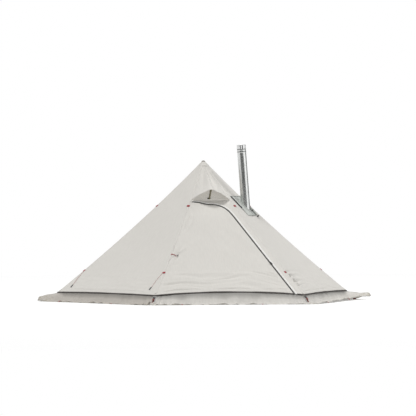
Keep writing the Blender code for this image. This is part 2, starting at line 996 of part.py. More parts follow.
corners = [360 * k / sides for k in range(sides)]
seam_low = hem_height + hem_band + seam_rise
seam_base = cloth + touch
seam_top = cap_bottom + seam_tuck
seams = [
    over_ridge(corner, seam_low, seam_top, seam_leg, seam_base, seam_thickness, 14)
    for corner in corners
]
tag_base = seam_base + seam_thickness / 2
tag_rise = tag_width / wall_slope / 2
tags = [
    over_ridge(corner, height - tag_rise, height + tag_rise, tag_length / 2, tag_base, tag_thickness, 1)
    for corner in corners
    for height in (tag_low, tag_high)
]


def apex_cap():
    """A six-sided cap over the top ends of the walls, closed at its point."""
    inner = seam_base + seam_thickness / 2
    outer = inner + cap_thickness
    levels = (
        (inner, cap_bottom),
        (inner, wall_top + cap_inner_tip),
        (outer, wall_top + cap_outer_tip),
        (outer, cap_bottom),
    )
    points = [
        on_wall(corner - 30, crest(height, out), height, out)
        for out, height in levels
        for corner in corners
    ]
    faces = []
    for low, high in ((0, 1), (2, 3), (3, 0)):
        for i in range(sides):
            j = (i + 1) % sides
            faces.append([low * sides + i, low * sides + j, high * sides + j, high * sides + i])
    faces.append([sides + i for i in range(sides)])
    faces.append([2 * sides + i for i in reversed(range(sides))])
    middle = Vector((0, 0, cap_bottom))
    return points, outward_facing([p - middle for p in points], faces)[1]


cap = add_object("ridge_seams_and_cap", apex_cap(), canopy_cloth)
fuse(cap, add_helper("six seams", merged(seams)))
fuse(cap, add_helper("guy tags", merged(tags)))


# Black webbing round the hem

def hem_ring(facing, across, height, corner_side=0):
    """Section of the hem webbing; at a corner it lies in the plane of the ridge."""
    base = cloth + 3 * touch
    ring = []
    for rise, out in (
        (touch, base), (hem_band, base), (hem_band, base + hem_band_thickness),
        (touch, base + hem_band_thickness),
    ):
        level = height + rise
        sideways = corner_side * crest(level, out) if corner_side else across
        pull = front_lift(across, level) if facing == front and not corner_side else 0.0
        ring.append(on_wall(facing, sideways, level, out + pull))
    return ring


def hem_rings(facing, start, end, count):
    return [hem_ring(facing, across, hem_at(facing, across)) for across in evenly(start, end, count)]


hem_half_width = half_width(hem_height)
hem_start = wall_zip_edge[0][0] - storm_root + 0.004
hem_band_rings = hem_rings(front, hem_start, hem_half_width - 0.02, 2)
for facing in (right_front, right_back, back, left_back, left_front):
    hem_band_rings.append(hem_ring(facing, 0, hem_height, -1))
    hem_band_rings += hem_rings(facing, -hem_half_width * 0.8, hem_half_width * 0.8, 6)
hem_band_rings.append(hem_ring(front, 0, hem_height, -1))
hem_band_rings.append(hem_ring(front, strip_right - touch, hem_at(front, strip_right)))
hem_band_body = add_object("hem_webbing", loft(hem_band_rings), black_webbing)
hinge_free = 0.006
hem_end_gap = 0.004
add_object(
    "hem_webbing_door",
    loft(hem_rings(front, door_left + hinge_free, door_zip_edge[0][0] - hem_end_gap, 20)),
    black_webbing,
    origin=hinge_low,
)


# Snow skirt: it falls from the hem and runs out over the ground, with slits at the corners

def drawn_out(facing, share):
    """1 where the skirt is drawn out straight over its strap, at the left and right corners."""
    corner = (facing + (30 if share > 0 else -30)) % 360
    from_corner = (1 - abs(share)) * half_width(hem_height)
    near = max(0.0, 1 - from_corner / corner_drape)
    return corner, near * near * (3 - 2 * near) if corner in drape_corners else 0.0


def skirt_point(facing, share, run):
    """Middle of the cloth; share is -1 to 1 between the corners, run 0 to 1 from the hem."""
    outward, along = wall_directions(facing)
    corner, drawn = drawn_out(facing, share)
    phase = radians(facing) * 1.7
    top = hem_at(facing, share * (half_width(hem_height) - corner_slit / cos(half_turn)))
    reach = skirt_reach * (1 + 0.05 * sin(5.1 * share + phase) + 0.03 * sin(12.7 * share + 2 * phase))
    reach *= 1 + drape_corners.get(corner, 0.0) * drawn
    distance = reach * run
    start = ridge_radius(top) * cos(half_turn) + cloth * 0.4
    left = max(0.0, 1 - distance / (skirt_fall + (reach - skirt_fall) * drawn))
    height = cloth / 2 + (top - hem_drop - cloth / 2) * left ** (2 - drawn)
    wave = 0.5 + 0.5 * sin(13.0 * share + phase + 2.0 * run)
    height += skirt_ripple * wave * max(0.0, run - 0.35) ** 1.3
    tip = skirt_raise * (0.55 + 0.45 * share) if facing == right_front else 0.0
    if corner == 0:
        tip += (right_tip - tip) * drawn
    height += tip * run ** 1.5
    width = (start + distance) * tan(half_turn) - corner_slit / cos(half_turn)
    return outward * (start + distance) + along * share * width + Vector((0, 0, height))


def skirt_sheet(facing, share_from, share_to, columns, rows=6):
    points = []
    for k in range(columns + 1):
        share = share_from + (share_to - share_from) * k / columns
        line = [skirt_point(facing, share, (r / rows) ** 1.25) for r in range(rows + 1)]
        for side in (-1, 1):
            for r, spot in enumerate(line):
                run = (line[min(rows, r + 1)] - line[max(0, r - 1)]).normalized()
                square = wall_directions(facing)[1].cross(run).normalized()
                if square.z < 0:
                    square = -square
                made = spot + square * side * cloth / 2
                points.append(Vector((made.x, made.y, max(0.0, made.z))))
    line = rows + 1
    column = 2 * line
    faces = []
    for k in range(columns):
        a = k * column
        b = a + column
        for r in range(rows):
            faces.append([a + r, a + r + 1, b + r + 1, b + r])
            faces.append([b + line + r, b + line + r + 1, a + line + r + 1, a + line + r])
        faces.append([a, b, b + line, a + line])
        faces.append([a + rows, a + line + rows, b + line + rows, b + rows])
    for a, turned_over in ((0, False), (columns * column, True)):
        for r in range(rows):
            end = [a + r, a + line + r, a + line + r + 1, a + r + 1]
            faces.append(list(reversed(end)) if turned_over else end)
    centre = sum(points, Vector()) / len(points)
    return points, outward_facing([p - centre for p in points], faces)[1]


def peg_loops(facing):
    """Webbing loops for pegs, folded flat and sewn into the skirt's edge."""
    along = wall_directions(facing)[1]
    made = []
    for share in peg_loop_shares:
        edge = skirt_point(facing, share, 1)
        run = (edge - skirt_point(facing, share, 0.9)).normalized()
        start = edge - run * peg_loop_sewn
        level = Vector((run.x, run.y, 0)).normalized()
        start.z = edge.z - peg_loop_thickness / 2
        made.append(flat_strip(
            [start, start + level * (peg_loop_sewn + peg_loop_length)],
            along, peg_loop_width, peg_loop_thickness,
        ))
    return merged(made)


def add_skirt(name, facing, share_from, share_to, columns, origin=(0, 0, 0)):
    made = add_object(
        name, skirt_sheet(facing, share_from, share_to, columns), skirt_cloth, origin=origin
    )
    if share_to - share_from > 1:
        fuse(made, add_helper(name + " peg loops", peg_loops(facing)))


for name, facing in (
    ("skirt_left_front", left_front),
    ("skirt_left_back", left_back),
    ("skirt_back", back),
    ("skirt_right_back", right_back),
    ("skirt_right_front", right_front),
):
    add_skirt(name, facing, -1, 1, 23 if facing == right_front else 22)
zip_share = zip_bottom / hem_half_width
door_share = (hem_half_width - hinge_inset - door_skirt_inset) / hem_half_width
add_skirt("skirt_front_left", front, -1, -door_share - skirt_slit, 3)
add_skirt("skirt_door", front, -door_share, zip_share - skirt_slit, 18, origin=hinge_low)
add_skirt("skirt_front_right", front, zip_share + skirt_slit, 1, 4)


# Corner fittings: ladder-lock buckle, strap and peg loop at each hem corner

def peg_loop(middle, outward, along):
    """A band of webbing standing on edge round the place of a peg."""
    def place(lengthways, sideways, up):
        return middle + outward * lengthways + along * sideways + Vector((0, 0, up - loop_height / 2))

    ring = slot_outline(loop_length, loop_width)
    hole = slot_outline(loop_length - 2 * loop_thickness, loop_width - 2 * loop_thickness)
    return sheet(ring, place, loop_height, holes=[hole], spacing=0.05)


hem_band_middle = cloth + 3 * touch + hem_band_thickness / 2


def corner_fitting(name, corner):
    outward, along = wall_directions(corner)
    hem_corner = outward * corner_radius + Vector((0, 0, hem_height))
    middle = hem_corner + outward * buckle_out - Vector((0, 0, buckle_drop))
    loop_middle = outward * loop_radius + Vector((0, 0, loop_height / 2))
    down = (loop_middle - middle).normalized()
    face = along.cross(down)
    if face.dot(outward) < 0:
        face = -face

    def buckle_place(across, height, out):
        return middle + along * across - down * height + face * out

    half_x = buckle_width / 2
    half_y = buckle_length / 2
    round_off = 0.003
    frame = [
        (half_x - round_off, -half_y), (half_x, -half_y + round_off),
        (half_x, half_y - round_off), (half_x - round_off, half_y),
        (-half_x + round_off, half_y), (-half_x, half_y - round_off),
        (-half_x, -half_y + round_off), (-half_x + round_off, -half_y),
    ]
    slots = []
    slot_x = strap_width / 2 + 0.0005
    for level in (-buckle_length / 4, buckle_length / 4):
        slots.append([
            (-slot_x, level - buckle_slot / 2), (slot_x, level - buckle_slot / 2),
            (slot_x, level + buckle_slot / 2), (-slot_x, level + buckle_slot / 2),
        ])
    buckle = sheet(frame, buckle_place, buckle_thickness, holes=slots, spacing=0.05)
    add_object("corner_buckle_" + name, buckle, black_plastic)
    tab_path = [
        on_wall(corner - 30, crest(height, hem_band_middle), height, hem_band_middle)
        for height in (hem_height + tab_rise, hem_height - tab_drop)
    ]
    tab_path.append(middle - down * (half_y + tab_gap) + face * (buckle_thickness - webbing) / 2)
    tab = flat_strip(tab_path, along, strap_width, webbing)
    fuse(hem_band_body, add_helper("corner tab " + name, tab))
    strap_from = middle + down * (half_y + touch) + face * (buckle_thickness - webbing) / 2
    strap_to = loop_middle - outward * (loop_length / 2 - loop_thickness / 2)
    strap = add_object(
        "corner_strap_" + name,
        flat_strip([strap_from, strap_to], along, strap_width, webbing),
        red_webbing,
    )
    fuse(strap, add_helper("peg loop " + name, peg_loop(loop_middle, outward, along)))


corner_names = ["right", "back_right", "back_left", "left", "front_left", "front_right"]
for corner, name in zip(corners, corner_names):
    corner_fitting(name, corner)


# Door tie-back: a loop on the hinge strip and a toggle on the door
tie_base = seam_base + seam_thickness + touch
tie_across = half_width(tie_height)
add_object(
    "tie_back_loop",
    block(
        on_wall(front, -(tie_across - 0.014), tie_height, tie_base + webbing / 2),
        wall_directions(front)[1],
        wall_uphill(front, tie_height),
        (0.022, 0.010, webbing),
        0.003,
    ),
    red_webbing,
)
toggle_tab = block(
    on_wall(front, -(tie_across - hinge_inset - 0.025), tie_height - 0.007, cloth + touch + webbing / 2),
    wall_directions(front)[1] - wall_uphill(front, tie_height) * 0.35,
    wall_uphill(front, tie_height),
    (0.042, 0.008, webbing),
)
toggle_middle = on_wall(
    front, -(tie_across - hinge_inset - 0.049), tie_height - 0.0135, cloth + touch + toggle_radius
)
toggle_line = wall_directions(front)[1] - wall_uphill(front, tie_height) * 0.55
toggle_line.normalize()
toggle = add_object(
    "tie_back_toggle",
    rod(
        toggle_radius,
        toggle_middle - toggle_line * toggle_length / 2,
        toggle_middle + toggle_line * toggle_length / 2,
        10,
    ),
    black_plastic,
    origin=hinge_low,
)
fuse(toggle, add_helper("toggle tab", toggle_tab))


# Stove jack: patch, collar round the pipe, hook tape and rolled rain flap
patch_base = cloth + 2 * touch
patch_face = patch_base + patch_thickness + touch
patch_outline = [
    (patch_left, patch_bottom + 0.018), (patch_left + 0.006, patch_bottom + 0.005),
    (patch_left + 0.024, patch_bottom), (patch_right - 0.024, patch_bottom),
    (patch_right - 0.006, patch_bottom + 0.005), (patch_right, patch_bottom + 0.018),
    (patch_right - 0.004, patch_top), (patch_left - patch_splay, patch_top),
]
patch_hole = pipe_outline_on_wall(pipe_radius + 0.0030, patch_base + patch_thickness / 2, 24)
add_object(
    "jack_patch",
    sheet(
        patch_outline, on_wall_from(right_front, patch_base), patch_thickness,
        holes=[patch_hole], spacing=0.08,
    ),
    jack_fibreglass,
)
collar_rings = []
collar_inner = pipe_radius + pipe_grip
for k in range(pipe_sides):
    turn = 2 * pi * k / pipe_sides
    away = pipe_first * cos(turn) + pipe_second * sin(turn)
    low_inner = pipe_meets_wall(collar_inner, turn, patch_face)
    low_outer = pipe_meets_wall(collar_inner + collar_flare, turn, patch_face)
    collar_rings.append([
        pipe_point + away * radius + pipe_axis * distance
        for radius, distance in (
            (collar_inner, low_inner),
            (collar_inner + collar_flare, low_outer),
            (collar_inner + collar_flare, low_outer + 0.0015),
            (collar_inner + collar_thickness + 0.002, low_inner + 0.008),
            (collar_inner + collar_thickness, low_inner + collar_height),
            (collar_inner, low_inner + collar_height),
        )
    ])
add_object("jack_collar", loft(collar_rings, closed=True), jack_fibreglass)
hook_across = (patch_left - patch_splay + 0.012, patch_left + 0.006)
hook_run = (0.04, 0.62)
hook_path = [
    (
        hook_across[0] + (hook_across[1] - hook_across[0]) * share,
        patch_top + (patch_bottom - patch_top) * share,
    )
    for share in evenly(*hook_run, 5)
]
hook_rings = []
for across, height in hook_path:
    hook_rings.append([
        on_wall(right_front, across + side, height, out)
        for side, out in (
            (-hook_width / 2, patch_face), (hook_width / 2, patch_face),
            (hook_width / 2, patch_face + webbing), (-hook_width / 2, patch_face + webbing),
        )
    ])
add_object("jack_hook_tape", loft(hook_rings), black_webbing)
roll_across = patch_right + roll_radius + 0.004
roll_out = cloth + touch + roll_radius
roll_path = [
    on_wall(right_front, roll_across, height, roll_out)
    for height in evenly(patch_bottom + 0.006, patch_top - 0.004, 4)
]
rain_flap = add_object("jack_rain_flap", tube_body(roll_path, roll_radius, 10), jack_fibreglass)
fuse(rain_flap, add_helper("flap toggle", block(
    on_wall(right_front, roll_across, patch_bottom + 0.004, cloth + touch + 0.006),
    wall_directions(right_front)[1],
    wall_uphill(right_front, patch_bottom),
    (0.030, 0.018, 0.010),
    0.004,
)))


# Stove pipe and spark arrester
pipe_bottom = -pipe_inside
arrester_foot = pipe_outside + touch


def round_pipe(profile, count=pipe_sides):
    return turned(profile, pipe_point, pipe_axis, count, start=(1, 0, 0))


add_object(
    "stove_pipe",
    round_pipe([
        (pipe_radius, pipe_bottom), (pipe_radius, pipe_outside),
        (pipe_radius - pipe_wall, pipe_outside), (pipe_radius - pipe_wall, pipe_bottom),
    ]),
    stainless,
    origin=pipe_point,
    smooth_angle=40,
)
spigot = pipe_radius - pipe_wall - 0.0004
band_top = arrester_foot + arrester_band
arrester_top = arrester_foot + arrester_length
bead = 0.0014
arrester_profile = [
    (pipe_radius, arrester_foot),
    (pipe_radius + bead, arrester_foot + 0.004),
    (pipe_radius, arrester_foot + 0.008),
    (pipe_radius, band_top - 0.008),
    (pipe_radius + bead, band_top - 0.004),
    (pipe_radius, band_top),
    (pipe_radius, arrester_top - 0.004),
    (pipe_radius - 0.004, arrester_top),
    (0.004, arrester_top + 0.003),
    (0.004, arrester_top + 0.003 - pipe_wall),
    (pipe_radius - pipe_wall - 0.003, arrester_top - pipe_wall - 0.001),
    (pipe_radius - pipe_wall, arrester_top - 0.006),
    (spigot - pipe_wall, arrester_foot + 0.002),
    (spigot - pipe_wall, arrester_foot - spigot_length),
    (spigot, arrester_foot - spigot_length),
    (spigot, arrester_foot),
]
arrester = add_object(
    "spark_arrester", round_pipe(arrester_profile), stainless, origin=pipe_point, smooth_angle=40
)
slot_cutters = []
for k in range(arrester_slots):
    turn = 2 * pi * (k + 0.5) / arrester_slots
    away = pipe_first * cos(turn) + pipe_second * sin(turn)
    middle = pipe_point + away * pipe_radius + pipe_axis * (band_top + arrester_top - 0.006) / 2
    slot_cutters.append(
        block(middle, away, pipe_axis, (0.012, arrester_top - 0.010 - band_top, arrester_slot))
    )
cut(arrester, add_helper("arrester slots", merged(slot_cutters)))


# Centre pole: three telescoping tubes with flip-lock clamps, foot and tip
middle_radius = pole_radius - pole_wall - pole_clearance
upper_radius = middle_radius - pole_wall - pole_clearance


def on_pole(profile, count=pole_sides):
    return turned(profile, (0, 0, 0), (0, 0, 1), count)


def tube_profile(radius, low, high, wall=pole_wall):
    return [(radius, low), (radius, high), (radius - wall, high), (radius - wall, low)]


lower_low = pole_foot_floor + touch
middle_low = lower_top - pole_overlap
middle_top = middle_low + pole_tube
upper_low = middle_top - pole_overlap
upper_top = tip_shoulder - touch
add_object("pole_lower_tube", on_pole(tube_profile(pole_radius, lower_low, lower_top)), pole_aluminium)
add_object(
    "pole_middle_tube", on_pole(tube_profile(middle_radius, middle_low, middle_top)), pole_aluminium,
    origin=(0, 0, middle_low),
)
add_object(
    "pole_upper_tube", on_pole(tube_profile(upper_radius, upper_low, upper_top)), pole_aluminium,
    origin=(0, 0, upper_low),
)
foot_inner = pole_radius + touch
foot_outer = foot_inner + 0.006
add_object(
    "pole_foot",
    revolved([
        (foot_outer, 0.0), (foot_outer + 0.003, 0.004), (foot_outer, 0.010),
        (foot_inner + 0.003, foot_height), (foot_inner, foot_height), (foot_inner, pole_foot_floor),
    ]),
    black_plastic,
)


def inside_walls(height):
    """Radius of a round piece that just touches the inside of the six walls here."""
    return ridge_radius(height) * cos(half_turn) - touch * 1.6


tip_profile = [
    (upper_radius, tip_shoulder),
    (inside_walls(tip_seat), tip_seat - tip_rim),
] + [(inside_walls(height), height) for height in evenly(tip_seat, tip_top, 2)]
add_object("pole_tip", revolved(tip_profile), black_plastic, origin=(0, 0, upper_low))


def flip_lock(name, tube_radius, top, parent_origin):
    """A clamp round the open end of a tube, with a cam lever on an upright pin."""
    inner = tube_radius + touch
    outer = inner + clamp_wall
    low = top - clamp_height
    collar = add_object(
        name + "_clamp",
        on_pole([(outer, low), (outer, top), (inner, top), (inner, low)]),
        black_plastic,
        origin=parent_origin,
    )
    ear_y = outer + clamp_ear / 2 - 0.001
    middle_z = low + clamp_height / 2
    for number, side in enumerate((-1, 1)):
        ear = block(
            (0, -ear_y, middle_z + side * (lever_height / 2 + touch * 2 + clamp_ear_thickness / 2)),
            (1, 0, 0), (0, 1, 0), (clamp_ear, clamp_ear, clamp_ear_thickness), 0.003,
        )
        fuse(collar, add_helper(name + " ear " + str(number + 1), ear))
    pivot = Vector((0, -(outer + clamp_ear / 2), middle_z))
    pin_length = lever_height / 2 + touch * 2 + clamp_ear_thickness / 2
    pin = rod(clamp_pin, pivot - Vector((0, 0, pin_length)), pivot + Vector((0, 0, pin_length)), 10)
    fuse(collar, add_helper(name + " pin", pin))
    barrel = clamp_pin + touch
    rings = []
    lever_inner = outer + 2 * touch
    lever_outer = lever_inner + lever_wall
    half_lever = Vector((0, 0, lever_height / 2))
    lever_low = middle_z - lever_height / 2
    lever_high = middle_z + lever_height / 2
    for turn in evenly(0, lever_turn, 10):
        direction = radians(-90 + degrees(turn))
        away = Vector((cos(direction), sin(direction), 0))
        rings.append([
            away * r + Vector((0, 0, z))
            for r, z in (
                (lever_inner, lever_low), (lever_outer, lever_low),
                (lever_outer, lever_high), (lever_inner, lever_high),
            )
        ])
    lever = add_object(name + "_lever", loft(rings), black_plastic, origin=pivot)
    barrel_body = rod(barrel + barrel_wall, pivot - half_lever, pivot + half_lever, 14)
    fuse(lever, add_helper(name + " barrel", barrel_body))
    hole = rod(barrel, pivot - Vector((0, 0, 0.03)), pivot + Vector((0, 0, 0.03)), 10)
    cut(lever, add_helper(name + " pin hole", hole))
    return pivot


lower_pivot = flip_lock("lower", pole_radius, lower_top, (0, 0, 0))
upper_pivot = flip_lock("upper", middle_radius, middle_top, (0, 0, middle_low))


# Guy-lines on the front-left wall, each hanging down the slope to its tensioner

def guy_line(name, across, corner_side):
    tag_edge = tag_low - tag_rise - 0.001
    cord_out = cloth + cord_radius + 2 * touch
    low = tag_edge - cord_drop

    def cord_place(share):
        sideways = corner_side * cord_sway * sin(pi * share)
        return on_wall(left_front, across + sideways, tag_edge + (low - tag_edge) * share, cord_out)

    path = [cord_place(share) for share in evenly(0, 1, 28)]
    curve = bpy.data.curves.new(name, "CURVE")
    curve.dimensions = "3D"
    curve.bevel_depth = cord_radius
    curve.bevel_resolution = 2
    curve.use_fill_caps = True
    line = curve.splines.new("POLY")
    line.points.add(len(path) - 1)
    for point, place in zip(line.points, path):
        point.co = (*place, 1.0)
    curve.materials.append(guy_cord)
    made = bpy.data.objects.new(name, curve)
    bpy.context.collection.objects.link(made)

    def tensioner_place(sideways, uphill, out):
        level = low - 2 * touch + uphill / wall_slope
        return on_wall(left_front, across + sideways, level, cloth + touch + out)

    half = tensioner_width / 2
    outline = [
        (half - 0.004, -tensioner_length), (half, -tensioner_length + 0.004), (half, -0.006),
        (half - 0.005, 0.0), (-half + 0.005, 0.0), (-half, -0.006), (-half, -tensioner_length + 0.004),
        (-half + 0.004, -tensioner_length),
    ]
    holes = []
    for middle in (-tensioner_end, -tensioner_length + tensioner_end):
        turns = evenly(0, 2 * pi, 8)[:-1]
        holes.append([
            (tensioner_hole * cos(turn), middle + tensioner_hole * sin(turn)) for turn in turns
        ])
    add_object(
        name.replace("line", "line_tensioner"),
        sheet(outline, tensioner_place, tensioner_thickness, holes=holes, spacing=0.05),
        black_plastic,
    )


guy_across = half_width(tag_low) - 0.012
guy_line("guy_line_left", -guy_across, -1)
guy_line("guy_line_front", guy_across, -1)
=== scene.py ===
"""The six-sided tipi tent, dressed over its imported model. Metres, +Z up.

Places on a wall are (across, height) as in the model's source: across runs along the hem,
to the right as seen from outside, height is above the ground, out is square to the cloth.
"""

from math import ceil, cos, exp, hypot, pi, radians, sin, sqrt, tan

import bmesh
import bpy
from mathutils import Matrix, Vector, noise
from mathutils.geometry import delaunay_2d_cdt


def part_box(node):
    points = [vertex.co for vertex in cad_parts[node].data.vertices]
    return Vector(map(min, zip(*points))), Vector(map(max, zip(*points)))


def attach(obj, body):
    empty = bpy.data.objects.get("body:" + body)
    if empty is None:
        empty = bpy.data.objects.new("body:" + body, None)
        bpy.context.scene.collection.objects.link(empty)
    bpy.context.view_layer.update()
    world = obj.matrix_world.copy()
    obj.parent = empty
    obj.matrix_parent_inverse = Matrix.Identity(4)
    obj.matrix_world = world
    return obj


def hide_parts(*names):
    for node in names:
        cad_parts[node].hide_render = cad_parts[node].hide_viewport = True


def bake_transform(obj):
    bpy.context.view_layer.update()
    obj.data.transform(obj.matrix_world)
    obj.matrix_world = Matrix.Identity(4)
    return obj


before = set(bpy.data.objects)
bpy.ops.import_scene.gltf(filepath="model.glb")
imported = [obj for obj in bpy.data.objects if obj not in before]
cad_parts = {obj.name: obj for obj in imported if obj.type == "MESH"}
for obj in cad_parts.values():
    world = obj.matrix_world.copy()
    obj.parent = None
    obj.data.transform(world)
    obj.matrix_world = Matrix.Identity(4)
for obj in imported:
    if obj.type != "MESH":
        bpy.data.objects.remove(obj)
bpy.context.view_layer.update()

# Sizes of the tent, as in the model's source
sides = 6
corner_radius = 1.75
hem_height = 0.10
apex_height = 1.66
ridge_sag = 0.051
cloth = 0.002
wall_top = apex_height - 0.010
hem_lift = 0.009
door_hem_lift = 0.036
front, right_front, right_back, back, left_back, left_front = 270, 330, 30, 90, 150, 210
corners = [360 * k / sides for k in range(sides)]
hinge_inset = 0.030
zip_inset = 0.112
zip_half = 0.011
zip_bend_height = apex_height - 0.660
zip_end_height = apex_height - 0.494
sill_height = apex_height - 0.463
hood_lip = apex_height - 0.470
hood_top = apex_height - 0.077
hood_peak = 0.176
hood_peak_across = -0.018
seam_leg = 0.012
cap_bottom = apex_height - 0.075
tag_low = hem_height + 0.257
tag_high = apex_height - 0.543
tie_height = hem_height + 0.460
corner_slit = 0.019
skirt_reach = 0.195
skirt_fall = 0.085
skirt_ripple = 0.014
skirt_raise = 0.045
corner_drape = 0.17
drape_corners = {0: 0.235, 180: 0.010}
right_tip = 0.060
wall_slope = 1.42
half_turn = pi / sides
canopy_thickness = 0.0018
webbing_thickness = 0.0014
tape_thickness = 0.0005
corner_names = ("right", "back_right", "back_left", "left", "front_left", "front_right")


# The shape of the walls

def ridge_radius(height):
    rise = (height - hem_height) / (apex_height - hem_height)
    return corner_radius * (1 - rise) - 4 * ridge_sag * rise * (1 - rise)


def ridge_run(height):
    rise = (height - hem_height) / (apex_height - hem_height)
    return (-corner_radius - 4 * ridge_sag * (1 - 2 * rise)) / (apex_height - hem_height)


def half_width(height):
    return ridge_radius(height) * sin(half_turn)


def wall_outward(facing):
    turn = radians(facing)
    return Vector((cos(turn), sin(turn), 0))


def wall_along(facing):
    turn = radians(facing)
    return Vector((-sin(turn), cos(turn), 0))


def wall_directions(facing):
    return wall_outward(facing), wall_along(facing)


def wall_normal(facing, height):
    outward = wall_outward(facing)
    return (outward - Vector((0, 0, 1)) * ridge_run(height) * cos(half_turn)).normalized()


def wall_uphill(facing, height):
    return wall_normal(facing, height).cross(wall_along(facing)) * -1


def on_wall(facing, across, height, out=0.0):
    outward, along = wall_directions(facing)
    place = outward * ridge_radius(height) * cos(half_turn) + along * across
    place.z = height
    return place + wall_normal(facing, height) * out


def crest(height, out):
    """Half the wall's width where cloth this far out meets the next wall's cloth."""
    level = 1 / sqrt(1 + (ridge_run(height) * cos(half_turn)) ** 2)
    return half_width(height) + tan(half_turn) * out * level


def hem_at(facing, across):
    lift = door_hem_lift if facing == front else hem_lift
    return hem_height + lift * max(0.0, 1 - (across / half_width(hem_height)) ** 2)


def above_wall(facing, place):
    """The place as (out, across, height) of this wall."""
    along = wall_along(facing)
    height = place.z
    for _ in range(8):
        foot = on_wall(facing, along.dot(place), height)
        normal = wall_normal(facing, height)
        out = (place - foot).dot(normal)
        height = place.z - normal.z * out
    return out, along.dot(place), height


def evenly(start, end, count):
    return [start + (end - start) * i / count for i in range(count + 1)]


def turns(count):
    """Angles all the way round, without the last that repeats the first."""
    return evenly(0, 2 * pi, count)[:-1]


def held(value):
    return max(0.0, min(1.0, value))


def eased(value):
    """The value held between 0 and 1, with soft ends."""
    value = held(value)
    return value * value * (3 - 2 * value)


def bell(value, middle, width):
    return exp(-((value - middle) / width) ** 2)


def circle(middle, first, second, count):
    """Places round a middle, from its first half axis towards its second."""
    return [middle + first * cos(t) + second * sin(t) for t in turns(count)]


def lengths_along(places):
    """How far each place is along the line through them all."""
    runs = [0.0]
    for before, after in zip(places, places[1:]):
        runs.append(runs[-1] + (after - before).length)
    return runs


def wall_gap(first, second):
    """How far apart two places of a wall are, measured on its cloth."""
    return hypot(first[0] - second[0], (first[1] - second[1]) * wall_slope)


def smooth_path(points, steps):
    """A smooth curve through the points, with this many steps between two of them."""
    points = [Vector(p) for p in points]
    full = [2 * points[0] - points[1]] + points + [2 * points[-1] - points[-2]]
    made = []
    for i in range(1, len(full) - 2):
        p0, p1, p2, p3 = full[i - 1:i + 3]
        for k in range(steps):
            t = k / steps
            made.append(0.5 * (
                2 * p1 + (p2 - p0) * t
                + (2 * p0 - 5 * p1 + 4 * p2 - p3) * t ** 2
                + (3 * p1 - p0 - 3 * p2 + p3) * t ** 3
            ))
    made.append(points[-1])
    return made


def offset_path(path, distance):
    """The path of (across, height) places moved this far to its left."""
    made = []
    for i, (a, h) in enumerate(path):
        before = path[max(0, i - 1)]
        after = path[min(len(path) - 1, i + 1)]
        da = after[0] - before[0]
        dh = (after[1] - before[1]) * wall_slope
        length = hypot(da, dh)
        made.append((a - distance * dh / length, h + distance * da / length / wall_slope))
    return made


# The zip line, whose long side run is straight

zip_bottom = half_width(hem_height) - zip_inset
zip_foot = on_wall(front, zip_bottom, hem_at(front, zip_bottom))
zip_bend = on_wall(front, half_width(zip_bend_height) - zip_inset, zip_bend_height)
zip_direction = (zip_bend - zip_foot).normalized()
zip_length = (zip_bend - zip_foot).length


def zip_at_height(height):
    """Where the zip's straight run is at this height: across, and how far out of the wall."""
    share = (height - hem_height) / (zip_bend_height - hem_height)
    for _ in range(6):
        out, across, level = above_wall(front, zip_foot + zip_direction * zip_length * share)
        share += (height - level) / (zip_bend_height - hem_height)
    return across, out


zip_heights = evenly(hem_height, zip_bend_height, 60)
zip_places = [zip_at_height(height) for height in zip_heights]


def zip_here(height):
    """The straight run at this height, read between worked-out places."""
    step = (height - hem_height) / (zip_bend_height - hem_height) * 60
    low = max(0, min(59, int(step)))
    share = step - low
    return [zip_places[low][i] * (1 - share) + zip_places[low + 1][i] * share for i in (0, 1)]


def front_lift(across, height):
    """How far the straight zip pulls the curved front wall out."""
    if not hem_height <= height <= zip_bend_height:
        return 0.0
    zip_across, lift = zip_here(height)
    beside = across - zip_across
    reach = half_width(height) - hinge_inset - zip_across if beside > 0 else 0.30
    return lift * eased((reach - abs(beside)) / (reach - zip_half - 0.020))


zip_run = [
    above_wall(front, zip_foot + zip_direction * zip_length * share)[1:]
    for share in evenly(0, 1, 24)
]
zip_end_across = -(half_width(zip_end_height) - hinge_inset - 0.001)
zip_top = [
    (0.186, apex_height - 0.600),
    (0.128, apex_height - 0.557),
    (0.040, apex_height - 0.527),
    (-0.060, apex_height - 0.519),
    (-0.150, apex_height - 0.500),
    (zip_end_across, zip_end_height),
]
zip_path = zip_run[:-1] + [
    tuple(p) for p in smooth_path([zip_run[-3], zip_run[-1]] + zip_top, 8)[8:]
]


def beside_zip(distance):
    """The zip's line moved this far to the door's side, and carried down to the hem."""
    edge = offset_path(zip_path, distance)
    slant = (edge[1][0] - edge[0][0]) / (edge[1][1] - edge[0][1])
    rise = hem_at(front, edge[0][0]) - edge[0][1]
    edge[0] = (edge[0][0] + rise * slant, edge[0][1] + rise)
    return edge


# Creases in the cloth

def window(value, low, high, soft):
    """One between low and high, falling smoothly to nothing over soft on both sides."""
    return eased(min((value - low) / soft + 1, (high - value) / soft + 1))


def ripple(*place):
    return noise.noise(Vector(place))


def puckers(along, away, pitch, reach, strength):
    """Short creases square to a seam, deepest at the seam."""
    wave = sin(2 * pi * (along / pitch + 0.5 * ripple(along * 9, away * 5, 3.1)))
    return strength * wave * exp(-away / reach) * min(1.0, away / 0.012)


tensioner_across = half_width(tag_low) - 0.012


